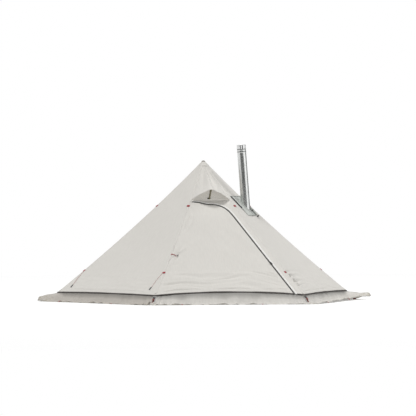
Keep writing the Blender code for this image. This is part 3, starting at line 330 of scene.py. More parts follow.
def crumple(facing, across, height):
    """How far the creased cloth stands off its plain shape."""
    width = half_width(height)
    edge = max(0.0, min(width - abs(across), 0.12)) / 0.12
    above_hem = height - hem_at(facing, across)
    seed = facing / 30
    # Long slack waves with finer ones over them
    out = 0.0045 * ripple(across * 3.0, height * 2.4, seed) * edge
    out += 0.0014 * ripple(across * 10, height * 8, seed + 5) * edge
    # The turned-up hem, and the cloth that its stitching gathers above it
    turned_up = above_hem - 0.034 + 0.003 * ripple(across * 4, 0.0, seed)
    if turned_up < 0:
        out += 0.0034 * bell(turned_up, -0.015, 0.010)
    else:
        out += 0.0068 * min(1.0, turned_up / 0.015) * exp(-turned_up / 0.050) * edge ** 0.3
    # Creases that lie along the hem
    lines = ripple(across * 1.5, above_hem * 24 + 1.3 * ripple(across * 2.2, 0.0, seed), seed + 9)
    depth = 0.0300 if facing == front else 0.0060
    out += depth * (0.35 - abs(lines)) * window(above_hem, 0.060, 0.20, 0.060) * edge
    if facing == front:
        out += front_creases(across, height, width)
    if facing == right_front:
        gap = across + width
        out += puckers(height, gap, 0.053, 0.170, 0.0230) * window(height, 0.22, 0.36, 0.03)
        out += puckers(height, gap, 0.055, 0.045, 0.0030) * window(height, 0.40, 0.85, 0.05)
    if facing == left_front:
        gap = width - across
        out += puckers(height, gap, 0.048, 0.045, 0.0034) * window(height, 0.16, 0.36, 0.04)
        beside = abs(abs(across) - tensioner_across)
        calm = window(height, 0.14, 0.22, 0.04) * window(beside, -0.03, 0.03, 0.05)
        out -= calm * max(0.0, out)
    return out


pull_gap = 0.07


def front_creases(across, height, width):
    """Creases of the door wall: the soft fold at the hinge and the pull of the tie-back."""
    # A deep fold beside the hinge, high up
    gap = across + width
    slant = gap - 0.060 - 0.012 * sin(height * 22)
    fold = 0.0060 * bell(slant, 0.034, 0.020) - 0.0095 * bell(slant, 0, 0.014)
    out = fold * window(height, 0.88, 1.04, 0.09)
    # Rays from the tie-back, small rungs near the ridge, and slanting slack beside the zip
    reach = wall_gap((gap, height), (pull_gap, tie_height))
    turn = (gap - pull_gap) / max(reach, 0.001)
    out += 0.0140 * sin(9 * turn + 3) * exp(-reach / 0.075) * min(1.0, reach / 0.02)
    ladder = ripple(gap * 5, height * 34, 4.0)
    rungs = window(height, 0.16, 0.52, 0.05) * window(gap, 0.03, 0.12, 0.05)
    out += 0.0050 * (0.3 - abs(ladder)) * rungs
    bias = height * 0.8 + across * 0.55
    out += 0.0060 * ripple(bias * 11, across * 1.5, 2.0) * window(height, 0.35, 0.80, 0.15) * window(
        across, 0.05, 0.40, 0.12
    )
    if height < zip_bend_height:
        near_zip = abs(across - zip_here(height)[0])
        out *= held((near_zip - 0.020) / 0.045)
    else:
        out *= 0.5
    return out


def calm_near_zip(across, height):
    """The creases die out at the straight run of the zip, which is pulled tight."""
    if not hem_height <= height <= zip_bend_height + 0.05:
        return 1.0
    near = abs(across - zip_here(min(height, zip_bend_height))[0])
    return held((near - 0.016) / 0.050)


def on_cloth(facing, across, height, out=0.0):
    """A point over the creased cloth of a wall."""
    out += crumple(facing, across, height) * (calm_near_zip(across, height) if facing == front else 1)
    if facing == front:
        out += front_lift(across, height)
    return on_wall(facing, across, height, out)


# Making meshes

def joined(parts):
    """Several (points, faces, flat) parts as one."""
    points = []
    faces = []
    flat = []
    for part_points, part_faces, part_flat in parts:
        faces.extend([[len(points) + i for i in face] for face in part_faces])
        points.extend(part_points)
        flat.extend(part_flat)
    return points, faces, flat


def clean(made, tool, kind, **values):
    """Run one of Blender's mesh tools over all vertices or faces of the piece."""
    work = bmesh.new()
    work.from_mesh(made.data)
    tool(work, **{kind: getattr(work, kind)}, **values)
    work.to_mesh(made.data)
    work.free()


def merge_close(made, distance=0.00015):
    clean(made, bmesh.ops.remove_doubles, "verts", dist=distance)
    made.data.shade_smooth()


def face_outward(made):
    clean(made, bmesh.ops.recalc_face_normals, "faces")


def sharpen(made, angle):
    made.data.set_sharp_from_angle(angle=radians(angle))


def piece(name, part, look, body, slot, replaces=(), thickness=0.0, outward=False):
    """A piece that moves with a body and stands for these nodes of the model.

    The part's flat places, in metres in the cloth, become its UV. Outward turns its faces out.
    """
    points, faces, flat = part
    mesh = bpy.data.meshes.new(name)
    mesh.from_pydata([Vector(p) for p in points], [], faces)
    layer = mesh.uv_layers.new(name="cloth")
    for loop in mesh.loops:
        layer.data[loop.index].uv = flat[loop.vertex_index]
    mesh.materials.append(look)
    mesh.shade_smooth()
    made = bpy.data.objects.new(name, mesh)
    bpy.context.collection.objects.link(made)
    if thickness:
        solid = made.modifiers.new("cloth", "SOLIDIFY")
        solid.thickness = thickness
        solid.offset = -1.0
    if outward:
        face_outward(made)
    if body:
        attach(made, body)
    if replaces:
        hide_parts(*replaces)
    return made


def inside(outline, point):
    """Whether the point lies within the closed outline."""
    hit = False
    x, y = point
    for i in range(len(outline)):
        x0, y0 = outline[i - 1]
        x1, y1 = outline[i]
        if (y0 > y) != (y1 > y) and x < x0 + (x1 - x0) * (y - y0) / (y1 - y0):
            hit = not hit
    return hit


def cloth_part(outline, place, spacing=0.030, holes=(), folds=()):
    """Points, faces and flat places of a sheet with this outline on a wall."""
    loops = [list(outline)] + [list(hole) for hole in holes]
    flat = []
    edges = []
    for loop in loops:
        start = len(flat)
        flat.extend(loop)
        edges.extend([(start + i, start + (i + 1) % len(loop)) for i in range(len(loop))])
    for fold in folds:
        kept = [spot for spot in fold if inside(loops[0], spot)]
        edges.extend([(len(flat) + i, len(flat) + i + 1) for i in range(len(kept) - 1)])
        flat.extend(kept)
    taken = {}
    for a, h in flat:
        taken.setdefault((round(a / spacing), round(h / spacing)), []).append((a, h))
    low = min(p[1] for p in flat)
    high = max(p[1] for p in flat)
    left = min(p[0] for p in flat)
    right = max(p[0] for p in flat)
    rows = ceil((high - low) * wall_slope / spacing)
    for r, height in enumerate(evenly(low, high, rows)):
        start = left + (r % 2) * spacing / 2
        for k in range(int((right - start) / spacing) + 1):
            spot = (start + k * spacing, height)
            cell = (round(spot[0] / spacing), round(spot[1] / spacing))
            close = [
                p
                for i in (-1, 0, 1)
                for j in (-1, 0, 1)
                for p in taken.get((cell[0] + i, cell[1] + j), ())
            ]
            if any(wall_gap(p, spot) < spacing * 0.5 for p in close):
                continue
            if inside(loops[0], spot) and not any(inside(hole, spot) for hole in loops[1:]):
                flat.append(spot)
    found = delaunay_2d_cdt([Vector(p) for p in flat], edges, [], 0, 1e-7)
    flat = [tuple(p) for p in found[0]]
    faces = []
    for face in found[2]:
        middle = [sum(flat[i][axis] for i in face) / len(face) for axis in (0, 1)]
        if inside(loops[0], middle) and not any(inside(hole, middle) for hole in loops[1:]):
            faces.append(list(face))
    points = [place(*spot) for spot in flat]
    return points, faces, [(a, h * wall_slope) for a, h in flat]


def grid_part(rows, close=False):
    """A sheet through rows of equally many (place, flat place) pairs."""
    count = len(rows[0])
    faces = []
    for r in range(len(rows) - 1):
        for i in range(count if close else count - 1):
            a = r * count + i
            b = r * count + (i + 1) % count
            faces.append([a, b, b + count, a + count])
    spots = [spot for row in rows for spot in row]
    return [place for place, flat in spots], faces, [flat for place, flat in spots]


def strip_part(sections):
    """A closed strip through cross-sections, with its ends filled."""
    count = len(sections[0])
    last = (len(sections) - 1) * count
    runs = lengths_along([section[0] for section in sections])
    rows = [
        list(zip(section, [(around, run) for around in lengths_along(section)]))
        for section, run in zip(sections, runs)
    ]
    points, faces, flat = grid_part(rows, close=True)
    ends = [list(reversed(range(count))), [last + i for i in range(count)]]
    return points, faces + ends, flat


# Materials

class Look:
    """A small help for wiring a material's nodes."""

    def __init__(self, name, roughness, metallic=0.0):
        self.material = bpy.data.materials.new(name)
        self.material.use_nodes = True
        self.nodes = self.material.node_tree.nodes
        self.shader = self.nodes["Principled BSDF"]
        self.surface(Roughness=roughness, Metallic=metallic)

    def surface(self, **values):
        """Set these inputs of the shader itself."""
        for key, value in values.items():
            self.shader.inputs[key.replace("_", " ")].default_value = value

    def node(self, kind, **values):
        """A new node: small names are its options, capital ones its inputs."""
        made = self.nodes.new(kind)
        for key, value in values.items():
            if key[0].islower():
                setattr(made, key, value)
            else:
                made.inputs[key].default_value = value
        return made

    def feed(self, value, end):
        """Link an output to this input, or set the input to a number or a colour."""
        if isinstance(value, bpy.types.NodeSocket):
            self.material.node_tree.links.new(value, end)
        else:
            end.default_value = (*value, 1.0) if isinstance(value, tuple) else value

    def math(self, operation, first, second=None):
        made = self.node("ShaderNodeMath", operation=operation)
        self.feed(first, made.inputs[0])
        if second is not None:
            self.feed(second, made.inputs[1])
        return made.outputs[0]

    def times(self, first, second):
        return self.math("MULTIPLY", first, second)

    def cloth_place(self):
        """Where the point lies in the flat cloth."""
        return self.node("ShaderNodeUVMap", uv_map="cloth").outputs["UV"]

    def place(self):
        return self.node("ShaderNodeTexCoord").outputs["Object"]

    def split(self, where):
        made = self.node("ShaderNodeSeparateXYZ")
        self.feed(where, made.inputs[0])
        return made.outputs

    def noise(self, where, scale, detail=3.0, stretch=None):
        if stretch:
            mapping = self.node("ShaderNodeMapping", Scale=stretch)
            self.feed(where, mapping.inputs["Vector"])
            where = mapping.outputs["Vector"]
        made = self.node("ShaderNodeTexNoise", Scale=scale, Detail=detail)
        self.feed(where, made.inputs["Vector"])
        return made.outputs["Fac"]

    def ribs(self, where, direction, pitch, distortion=0.0):
        """Bands along X or Y of the cloth, this far apart."""
        made = self.node(
            "ShaderNodeTexWave", bands_direction=direction, Scale=0.31416 / pitch / 2, Distortion=distortion
        )
        self.feed(where, made.inputs["Vector"])
        return made.outputs["Fac"]

    def weave(self, where, thread):
        """Over and under of a plain weave with this thread pitch."""
        return self.times(self.ribs(where, "X", thread, 0.4), self.ribs(where, "Y", thread, 0.4))

    def ramp(self, value, low, first, high, second):
        """The first colour below low, the second above high. A number is a grey."""
        made = self.node("ShaderNodeValToRGB")
        for element, place, colour in zip(made.color_ramp.elements, (low, high), (first, second)):
            element.position = place
            element.color = (*(colour if isinstance(colour, tuple) else (colour,) * 3), 1.0)
        self.feed(value, made.inputs["Fac"])
        return made.outputs["Color"]

    def mix(self, amount, first, second, blend_type="MIX"):
        made = self.node("ShaderNodeMix", data_type="RGBA", blend_type=blend_type)
        for slot, value in ((0, amount), (6, first), (7, second)):
            self.feed(value, made.inputs[slot])
        return made.outputs[2]

    def bump(self, height, distance, strength=1.0, before=None):
        made = self.node("ShaderNodeBump", Strength=strength, Distance=distance)
        self.feed(height, made.inputs["Height"])
        if before:
            self.feed(before, made.inputs["Normal"])
        return made.outputs["Normal"]

    def finish(self, colour, normal):
        self.feed(colour, self.shader.inputs["Base Color"])
        self.feed(normal, self.shader.inputs["Normal"])
        return self.material


def scaled(colour, amount):
    return tuple(min(1.0, c * amount) for c in colour)


def fabric(name, colour, thread=0.0011, variation=0.05, roughness=0.82, sheen=0.15, grime_and_shade=None):
    """Woven cloth with slubs, faint mottling and fine creases."""
    look = Look(name, roughness)
    look.surface(Sheen_Weight=sheen, Sheen_Roughness=0.5)
    where = look.cloth_place()
    place = look.place()
    patches = look.noise(place, 3.5, 4.0)
    slubs = look.noise(where, 90.0, 2.0, (1.0, 0.12, 1.0))
    shade = look.ramp(patches, 0.30, scaled(colour, 1 - variation), 0.70, scaled(colour, 1 + variation))
    threads = look.ramp(slubs, 0.35, scaled(colour, 0.93), 0.65, scaled(colour, 1.05))
    found = look.mix(0.35, shade, threads)
    # Optional dirt and painted shade laid over the cloth's colour.
    if grime_and_shade:
        found = grime_and_shade(look, place, where, found)
    creases = look.bump(look.noise(where, 22.0, 5.0), 0.0012, 0.35)
    return look.finish(found, look.bump(look.weave(where, thread), 0.00025, 0.5, creases))


# A dark brown patch on the skirt is centred here, near the front-left corner.
dark_patch_place = wall_outward(240) * 1.80 + wall_along(240) * -0.19 + Vector((0, 0, 0.01))


def skirt_grime_and_shade(look, place, where, found):
    """Skirt cloth: painted shade in the fold under the hem, stained at its frayed lower edge, with a dark
    brown patch near the front-left corner.
    """
    down = look.times(look.split(where)["Y"], 4.0)
    # Painted shade: the cloth darkens towards the hem, in the fold under it.
    found = look.mix(1.0, found, look.ramp(down, 0.0, 0.45, 0.13, 1.0), "MULTIPLY")
    low = look.ramp(down, 0.22, 0.0, 0.70, 1.0)
    blotches = look.ramp(look.noise(where, 46.0, 6.0), 0.46, 0.0, 0.62, 1.0)
    specks = look.ramp(look.noise(where, 170.0, 3.0), 0.60, 0.0, 0.72, 1.0)
    dirt = look.times(look.times(low, blotches), 0.55)
    found = look.mix(dirt, found, (0.33, 0.30, 0.20))
    # Darker brown in a blotchy patch round that place.
    away = look.node("ShaderNodeVectorMath", operation="DISTANCE")
    look.feed(place, away.inputs[0])
    away.inputs[1].default_value = dark_patch_place
    near = look.math("SUBTRACT", 1.0, look.math("DIVIDE", away.outputs["Value"], 0.075))
    near = look.math("MAXIMUM", look.times(near, blotches), 0.0)
    dark_patch = look.math("MINIMUM", look.times(near, 1.6), 0.85)
    found = look.mix(dark_patch, found, (0.10, 0.085, 0.045))
    return look.mix(look.times(low, look.times(specks, 0.5)), found, (0.16, 0.13, 0.08))


def webbing_look(name, colour, rib=0.0016):
    """Ribbed woven tape."""
    look = Look(name, 0.78)
    ribs = look.ribs(look.cloth_place(), "Y", rib, 0.6)
    shade = look.ramp(ribs, 0.2, scaled(colour, 0.72), 0.8, scaled(colour, 1.15))
    return look.finish(shade, look.bump(ribs, 0.0004, 0.7))


def stitched_tape(name, colour, edge, stitch=0.005):
    """Seam tape in the canopy cloth, with a row of stitches this far from its middle line."""
    look = Look(name, 0.82)
    look.surface(Sheen_Weight=0.15)
    where = look.cloth_place()
    flat = look.split(where)
    aside = look.math("ABSOLUTE", look.math("SUBTRACT", look.math("ABSOLUTE", flat["X"]), edge))
    on_row = look.math("LESS_THAN", aside, 0.0007)
    dash = look.math("LESS_THAN", look.math("FRACT", look.math("DIVIDE", flat["Y"], stitch)), 0.68)
    thread = look.times(look.times(on_row, dash), 0.35)
    base = look.ramp(look.noise(look.place(), 5.0), 0.3, scaled(colour, 0.96), 0.7, scaled(colour, 1.03))
    groove = look.bump(look.math("SUBTRACT", 1.0, on_row), 0.0008, 0.7)
    return look.finish(
        look.mix(thread, base, scaled(colour, 0.70)),
        look.bump(look.weave(where, 0.0011), 0.0002, 0.4, groove),
    )


def coil_look(name, colour):
    """Nylon zip coil and tape: fine ribs square to the zip."""
    look = Look(name, 0.55)
    ribs = look.ribs(look.cloth_place(), "Y", 0.0015)
    shade = look.ramp(ribs, 0.15, scaled(colour, 0.5), 0.85, scaled(colour, 1.6))
    return look.finish(shade, look.bump(ribs, 0.0005, 0.8))


def net_look(name, colour, painted_glow=0.32):
    """Fine insect mesh: threads with darker gaps, and a painted glow for the daylight from the pale cloth
    behind it.
    """
    look = Look(name, 0.85)
    # Painted glow: the mesh gives off a little light in its own colour.
    look.surface(Emission_Color=(*colour, 1.0), Emission_Strength=painted_glow)
    weave = look.weave(look.cloth_place(), 0.0016)
    patches = look.times(look.noise(look.place(), 9.0), 0.3)
    threads = look.ramp(weave, 0.05, scaled(colour, 0.62), 0.45, scaled(colour, 1.25))
    return look.finish(look.mix(patches, threads, scaled(colour, 0.8)), look.bump(weave, 0.0004, 0.7))


def plastic_look(name, colour, roughness=0.42):
    """Moulded plastic with a fine grain and patches a little paler from wear."""
    look = Look(name, roughness)
    place = look.place()
    wear = look.noise(place, 60.0, 4.0)
    return look.finish(
        look.ramp(wear, 0.35, scaled(colour, 0.85), 0.75, scaled(colour, 1.5)),
        look.bump(look.noise(place, 900.0, 2.0), 0.0002, 0.35),
    )


def metal_look(name, colour, roughness, axis_stretch, scuffs=0.12):
    """Drawn or rolled metal: streaks along its length, with faint stains."""
    look = Look(name, roughness, 1.0)
    place = look.place()
    streaks = look.noise(place, 160.0, 3.0, axis_stretch)
    stains = look.noise(place, 14.0, 5.0)
    base = look.ramp(stains, 0.30, scaled(colour, 1 - scuffs), 0.70, scaled(colour, 1 + scuffs * 0.4))
    streaked = look.ramp(streaks, 0.3, scaled(colour, 0.82), 0.7, colour)
    rough = look.ramp(streaks, 0.3, roughness * 0.8, 0.7, roughness * 1.35)
    look.feed(rough, look.shader.inputs["Roughness"])
    return look.finish(look.mix(0.35, base, streaked), look.bump(streaks, 0.0002, 0.25))


canopy_colour = (0.665, 0.645, 0.605)
canopy_cloth = fabric("canopy_cloth_look", canopy_colour, variation=0.015)
seam_tape = stitched_tape("seam_tape_look", canopy_colour, 0.0095)
# The storm flap's tape is paler than the canopy cloth it is made of: a painted highlight on the flap beside
# the zip.
storm_tape_highlit = stitched_tape("storm_flap_highlight_look", (0.82, 0.81, 0.78), 0.0030)
# Two copies of the skirt cloth: a paler one for the front and right skirts, and a darker one for the left
# and back skirts, which is painted shade.
skirt_cloth = fabric(
    "skirt_cloth_look", (0.655, 0.635, 0.60), thread=0.0014, variation=0.08, grime_and_shade=skirt_grime_and_shade
)
skirt_shaded_copy = fabric(
    "shaded_skirt_look", (0.515, 0.485, 0.445), thread=0.0014, variation=0.10, grime_and_shade=skirt_grime_and_shade
)
hem_black = webbing_look("hem_webbing_look", (0.060, 0.052, 0.048))
webbing_red = webbing_look("red_webbing_look", (0.33, 0.035, 0.045))
strap_brown = webbing_look("strap_look", (0.20, 0.055, 0.045))
webbing_black = webbing_look("black_webbing_look", (0.022, 0.021, 0.021))
zip_look = coil_look("zip_look", (0.030, 0.030, 0.030))
mesh_net = net_look("vent_mesh_look", (0.62, 0.60, 0.56))
jack_cloth = fabric(
    "fibreglass_look", (0.54, 0.56, 0.53), thread=0.0020, variation=0.10, roughness=0.60, sheen=0.05
)
jack_tape = stitched_tape("jack_tape_look", (0.40, 0.42, 0.39), 0.0055)
hook_look = plastic_look("hook_tape_look", (0.030, 0.030, 0.032), 0.75)
cord_red = webbing_look("cord_look", (0.56, 0.20, 0.19), rib=0.0009)
black_plastic = plastic_look("black_plastic_look", (0.020, 0.020, 0.022))
slider_metal = metal_look("slider_look", (0.035, 0.035, 0.035), 0.50, (1.0, 1.0, 0.2))
# Painted shadow: dark steel for the rolled seams round the spark arrester.
seam_shadow = metal_look("arrester_seam_shadow_look", (0.10, 0.105, 0.10), 0.55, (1.0, 1.0, 0.2))
tip_brown = webbing_look("apex_tip_look", (0.20, 0.17, 0.15))
strut_olive = plastic_look("strut_look", (0.115, 0.105, 0.065), 0.50)
strut_webbing = webbing_look("strut_cover_look", (0.150, 0.135, 0.085))
stainless = metal_look("stainless_look", (0.67, 0.68, 0.67), 0.24, (1.0, 1.0, 0.02))
aluminium = metal_look("aluminium_look", (0.60, 0.61, 0.63), 0.34, (1.0, 1.0, 0.02))

for names, look in (
    (("stove_pipe", "spark_arrester"), stainless),
    (("pole_lower_tube", "pole_middle_tube", "pole_upper_tube"), aluminium),
    (("zip_slider",), slider_metal),
    (("vent_strut",), strut_olive),
    (
        (
            "pole_foot", "pole_tip", "lower_clamp", "lower_lever", "upper_clamp", "upper_lever",
            "zip_pull", "strut_foot", "guy_line_tensioner_left", "guy_line_tensioner_front",
            *("corner_buckle_" + name for name in corner_names),
        ),
        black_plastic,
    ),
):
    for name in names:
        for material_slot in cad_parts[name].material_slots:
            material_slot.material = look


# Where the stove pipe passes the right-hand front wall

pipe_radius = 0.0525
lean = radians(4.2)
pipe_axis = (wall_outward(168.4) * sin(lean) + Vector((0, 0, 1)) * cos(lean)).normalized()
jack_height = apex_height - 0.575
jack_across = 0.030
pipe_point = on_wall(right_front, jack_across, jack_height)
pipe_first = (Vector((1, 0, 0)) - pipe_axis * pipe_axis.x).normalized()
pipe_second = pipe_axis.cross(pipe_first)


def pipe_away(turn):
    return pipe_first * cos(turn) + pipe_second * sin(turn)


def pipe_side(radius, turn):
    return pipe_point + radius * pipe_away(turn)


def pipe_meets_wall(radius, turn, out):
    """How far along the pipe its side is this far out of the wall."""
    side = pipe_side(radius, turn)
    along = 0.0
    rate = pipe_axis.dot(wall_normal(right_front, jack_height))
    for _ in range(12):
        along += (out - above_wall(right_front, side + pipe_axis * along)[0]) / rate
    return along


def pipe_ring(radius, out, count):
    """Places on the wall round the pipe."""
    made = []
    for turn in turns(count):
        spot = pipe_side(radius, turn) + pipe_axis * pipe_meets_wall(radius, turn, out)
        made.append(above_wall(right_front, spot)[1:])
    return made


# The canopy: five plain walls and the fixed part of the front wall as one creased sheet

ridge_rows = evenly(hem_height, wall_top, 64)


def ridge_edge(side, low, high, inset):
    """Places up a ridge at the shared row heights."""
    heights = [low] + [h for h in ridge_rows if low + 0.006 < h < high - 0.006] + [high]
    return [(side * (half_width(h) - inset), h) for h in heights]


def hem_folds(facing):
    """Lines along the hem that give its turned-up edge its roll."""
    width = half_width(hem_height)
    return [
        [(a, hem_at(facing, a) + rise) for a in evenly(-width + 0.04, width - 0.04, 60)]
        for rise in (0.012, 0.019, 0.026, 0.031, 0.034, 0.038, 0.044, 0.050)
    ]


def wall_outline(facing):
    width = half_width(hem_height)
    hem = [(a, hem_at(facing, a)) for a in evenly(-width, width, 60)]
    right = ridge_edge(1, hem_height, wall_top, 0.0)
    left = list(reversed(ridge_edge(-1, hem_height, wall_top, 0.0)))
    return hem[:-1] + right + left[:-1]


fine = 0.012
coarse = 0.022


def wall_cloth(facing, outline, spacing=fine, holes=()):
    """Creased cloth on a wall, with its turned-up hem."""
    def place(across, height):
        return on_cloth(facing, across, height, cloth)
    return cloth_part(outline, place, spacing, holes, hem_folds(facing))


wall_parts = [wall_cloth(facing, wall_outline(facing), coarse) for facing in (left_back, back, right_back)]
wall_parts.append(wall_cloth(left_front, wall_outline(left_front)))
wall_parts.append(wall_cloth(
    right_front, wall_outline(right_front), holes=[pipe_ring(pipe_radius + 0.030, cloth / 2, 32)]
))
cloth_to_zip = 0.0092
wall_edge = beside_zip(-cloth_to_zip)
blend_gap = 0.014
strip_hem = half_width(hem_height) - blend_gap
front_outline = (
    [(a, hem_at(front, a)) for a in evenly(wall_edge[0][0], half_width(hem_height), 6)][:-1]
    + ridge_edge(1, hem_height, sill_height, 0.0)
    + list(reversed(ridge_edge(-1, hem_height, sill_height, 0.0)))
    + ridge_edge(-1, hem_at(front, -strip_hem), zip_end_height, blend_gap)
    + list(reversed(wall_edge))[1:-1]
)
wall_parts.append(wall_cloth(front, front_outline))
canopy = piece(
    "canopy", joined(wall_parts), canopy_cloth, "tent", "canopy_cloth",
    (
        "wall_left_front", "wall_left_back", "wall_back", "wall_right_back",
        "wall_right_front", "front_wall",
    ),
    thickness=canopy_thickness,
)
merge_close(canopy)


# The door's cloth, from the fixed strip at the ridge over the swinging flap

door_edge = beside_zip(cloth_to_zip)
door_top = zip_end_height - 0.004
door_outline = (
    [(a, hem_at(front, a)) for a in evenly(-strip_hem, door_edge[0][0], 56)][:-1]
    + door_edge
    + list(reversed(ridge_edge(-1, hem_at(front, -strip_hem), door_top, blend_gap)))[:-1]
)
hinge_low = on_wall(front, -(half_width(hem_height) - hinge_inset), hem_height, 0.004)
hinge_high = on_wall(front, -(half_width(zip_end_height) - hinge_inset), zip_end_height, 0.004)
hinge_up = (hinge_high - hinge_low).normalized()
into_door = hinge_up.cross(wall_normal(front, tie_height)).normalized()
if into_door.x < 0:
    into_door = -into_door


def bend_at_hinge(made):
    """Tidy the piece's mesh and bake its place into its points."""
    made.data.validate()
    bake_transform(made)


door = piece(
    "door_cloth", wall_cloth(front, door_outline), canopy_cloth, None, "canopy_cloth", ("door_flap",),
    thickness=canopy_thickness,
)
bend_at_hinge(door)


# Zip tapes with their coils, and the storm flap beside them

coil_half = 0.0032
coil_height = 0.0024
tape_low = 0.0006
storm_edge = -0.0074
storm_root = -0.030
storm_fold = -0.016


def zip_strip(section):
    """A strip along the zip; section gives (distance to the door's side, out)."""
    edges = {d: beside_zip(d) for d, out in section}
    return strip_part([
        [on_cloth(front, *edges[d][i], out) for d, out in section] for i in range(len(zip_path))
    ])


def tape_section(side):
    """Tape with a rounded coil along its inner edge and a fold line where it is sewn."""
    coil = [
        (side * (0.0009 + (coil_half - 0.0009) * (1 - cos(t)) / 2), tape_low + coil_height * 0.75 * sin(t))
        for t in evenly(0, pi, 6)
    ]
    tape = [
        (side * 0.0046, 0.0006), (side * (zip_half + 0.004), -0.0002),
        (side * (zip_half + 0.004), -0.0012), (side * 0.0046, -0.0008),
    ]
    return coil + tape


storm_low = coil_height + 0.0012
storm_section = [
    (storm_edge + 0.001, storm_low),
    (storm_edge, storm_low + 0.0022),
    (storm_edge - 0.003, storm_low + 0.0050),
    (storm_fold, storm_low + 0.0030),
    (storm_root + 0.002, cloth + 0.0020),
    (storm_root, cloth + 0.0004),
    (storm_fold, cloth + 0.0004),
]
for name, section, look, body, slot, node in (
    ("zip_tape_on_door", tape_section(1), zip_look, "door", "zip_black", "zip_tape_door"),
    ("zip_tape_on_wall", tape_section(-1), zip_look, "tent", "zip_black", "zip_tape_wall"),
    ("storm_flap", storm_section, storm_tape_highlit, "tent", "canopy_cloth", "zip_storm_flap"),
):
    sharpen(piece(name, zip_strip(section), look, body, slot, (node,), outward=True), 50)


# Vent: mesh in the opening, and the hood that the strut pushes up into an arch

hood_inset = seam_leg + 0.0006
hood_base = cloth + 0.0003
hood_hem_half = 0.0040
hood_hem_rise = 0.0026
sleeve_half = 0.014
sleeve_half_width = 0.0085
sleeve_half_height = 0.0032


def hood_side(across, height):
    rise = max(0.0, (hood_top - height) / (hood_top - hood_lip))
    width = half_width(height) - hood_inset
    peak = hood_peak_across * rise
    return rise, (across - peak) / (width - peak if across > peak else width + peak)


def hood_bulge(across, height):
    """How far the hood stands off the wall under it."""
    rise, side = hood_side(across, height)
    return hood_peak * min(1.0, rise) ** 1.15 * max(0.0, 1 - abs(side) ** 1.5)


def on_hood(across, height, out=0.0):
    """The hood's cloth: pulled into folds that run from the apex to the lip."""
    rise, side = hood_side(across, height)
    rise = min(1.0, rise)
    free = sin(pi * min(1.0, 0.10 + 0.78 * rise)) * max(0.0, 1 - side * side)
    fold = 0.0190 * bell(side, -0.04, 0.12) - 0.0160 * bell(side, -0.42, 0.14)
    fold -= 0.0200 * bell(side, 0.30, 0.10)
    fold += 0.0080 * bell(side, 0.58, 0.12)
    fold += 0.0060 * ripple(side * 5.5, rise * 1.2, 4.0) + 0.0020 * ripple(side * 13, rise * 3, 8.0)
    return on_wall(front, across, height, hood_base + hood_bulge(across, height) + fold * free + out)


hood_width = half_width(hood_lip) - hood_inset
hood_tuck = hood_inset - 0.005
hood_reach = half_width(hood_lip) - hood_tuck
hood_outline = (
    [(a, hood_lip) for a in evenly(-hood_reach, hood_reach, 48)][:-1]
    + ridge_edge(1, hood_lip, hood_top, hood_tuck)
    + list(reversed(ridge_edge(-1, hood_lip, hood_top, hood_tuck)))[:-1]
)
hood = piece(
    "vent_hood_cloth", cloth_part(hood_outline, on_hood, spacing=0.014), canopy_cloth, "tent",
    "canopy_cloth", ("vent_hood",), thickness=0.0016,
)


def hood_hem(across):
    """Section of the turned and stitched edge of the hood at its lip."""
    return [
        on_hood(across, hood_lip + hood_hem_half * cos(turn), hood_hem_rise * sin(turn) - 0.0008)
        for turn in turns(8)
    ]


piece(
    "vent_hood_hem", strip_part([hood_hem(a) for a in evenly(-hood_width, hood_width, 48)]),
    seam_tape, "tent", "canopy_cloth", outward=True,
)
sleeve_height = hood_lip + 0.012
sleeve_across = wall_along(front)
sleeve_normal = wall_normal(front, sleeve_height)
sleeve_uphill = wall_uphill(front, sleeve_height)
hood_under = hood_base + hood_bulge(hood_peak_across, sleeve_height)


def sleeve_ring(across):
    """Section of the small pocket of cloth under the lip that holds the strut's end."""
    middle = on_wall(front, hood_peak_across + across, sleeve_height, hood_under + 0.001 - 0.003)
    swell = 1 - 0.35 * (across / sleeve_half) ** 2
    return circle(
        middle, sleeve_uphill * sleeve_half_width, sleeve_normal * sleeve_half_height * swell, 12
    )


piece(
    "strut_sleeve", strip_part([sleeve_ring(a) for a in evenly(-sleeve_half, sleeve_half, 6)]),
    seam_tape, "tent", "canopy_cloth", outward=True,
)
strut_cover_half = 0.0105
strut_cover_depth = 0.0042


def strut_cover():
    """Olive webbing sewn as a flat sleeve over the strut."""
    low = on_wall(front, hood_peak_across, sill_height - 0.012, cloth + 0.012)
    high = on_wall(front, hood_peak_across, sleeve_height - 0.002, hood_under - 0.010)
    line = (high - low).normalized()
    face = line.cross(sleeve_across).normalized()
    rows = []
    for share in evenly(0.05, 0.97, 14):
        half = strut_cover_half * (1 - 0.15 * ripple(share * 4, 1.0, 2.0))
        middle = low + (high - low) * share
        rows.append(circle(middle, sleeve_across * half, face * strut_cover_depth, 12))
    return strip_part(rows)


piece("strut_cover", strut_cover(), strut_webbing, "vent_strut", "strut_olive", outward=True)
vent_low = sill_height - 0.014
vent_outline = ridge_edge(1, vent_low, wall_top, 0.0004) + list(
    reversed(ridge_edge(-1, vent_low, wall_top, 0.0004))
)


def on_net(across, height):
    """The mesh lies over the sill's edge, where it is sewn, and in the wall's plane above."""
    over = held((sill_height + 0.008 - height) / 0.008)
    if height > sill_height:
        return on_wall(front, across, height, cloth * 0.6 + (cloth * 0.4 + 0.0012) * over)
    return on_cloth(front, across, height, cloth + 0.0012)


vent_net = piece(
    "vent_net", cloth_part(vent_outline, on_net, spacing=0.012), mesh_net,
    "tent", "mesh_net", ("vent_mesh",), thickness=0.0008,
)


# Ridge seam tapes, apex cap, and the red guy-line tags over the ridges

seam_low = hem_height + 0.017
seam_base = cloth + 0.0003
seam_top = cap_bottom + 0.008
tip_depth = 0.011
tip_stand = 0.0012
tag_half = 0.0095
tag_leg = 0.018


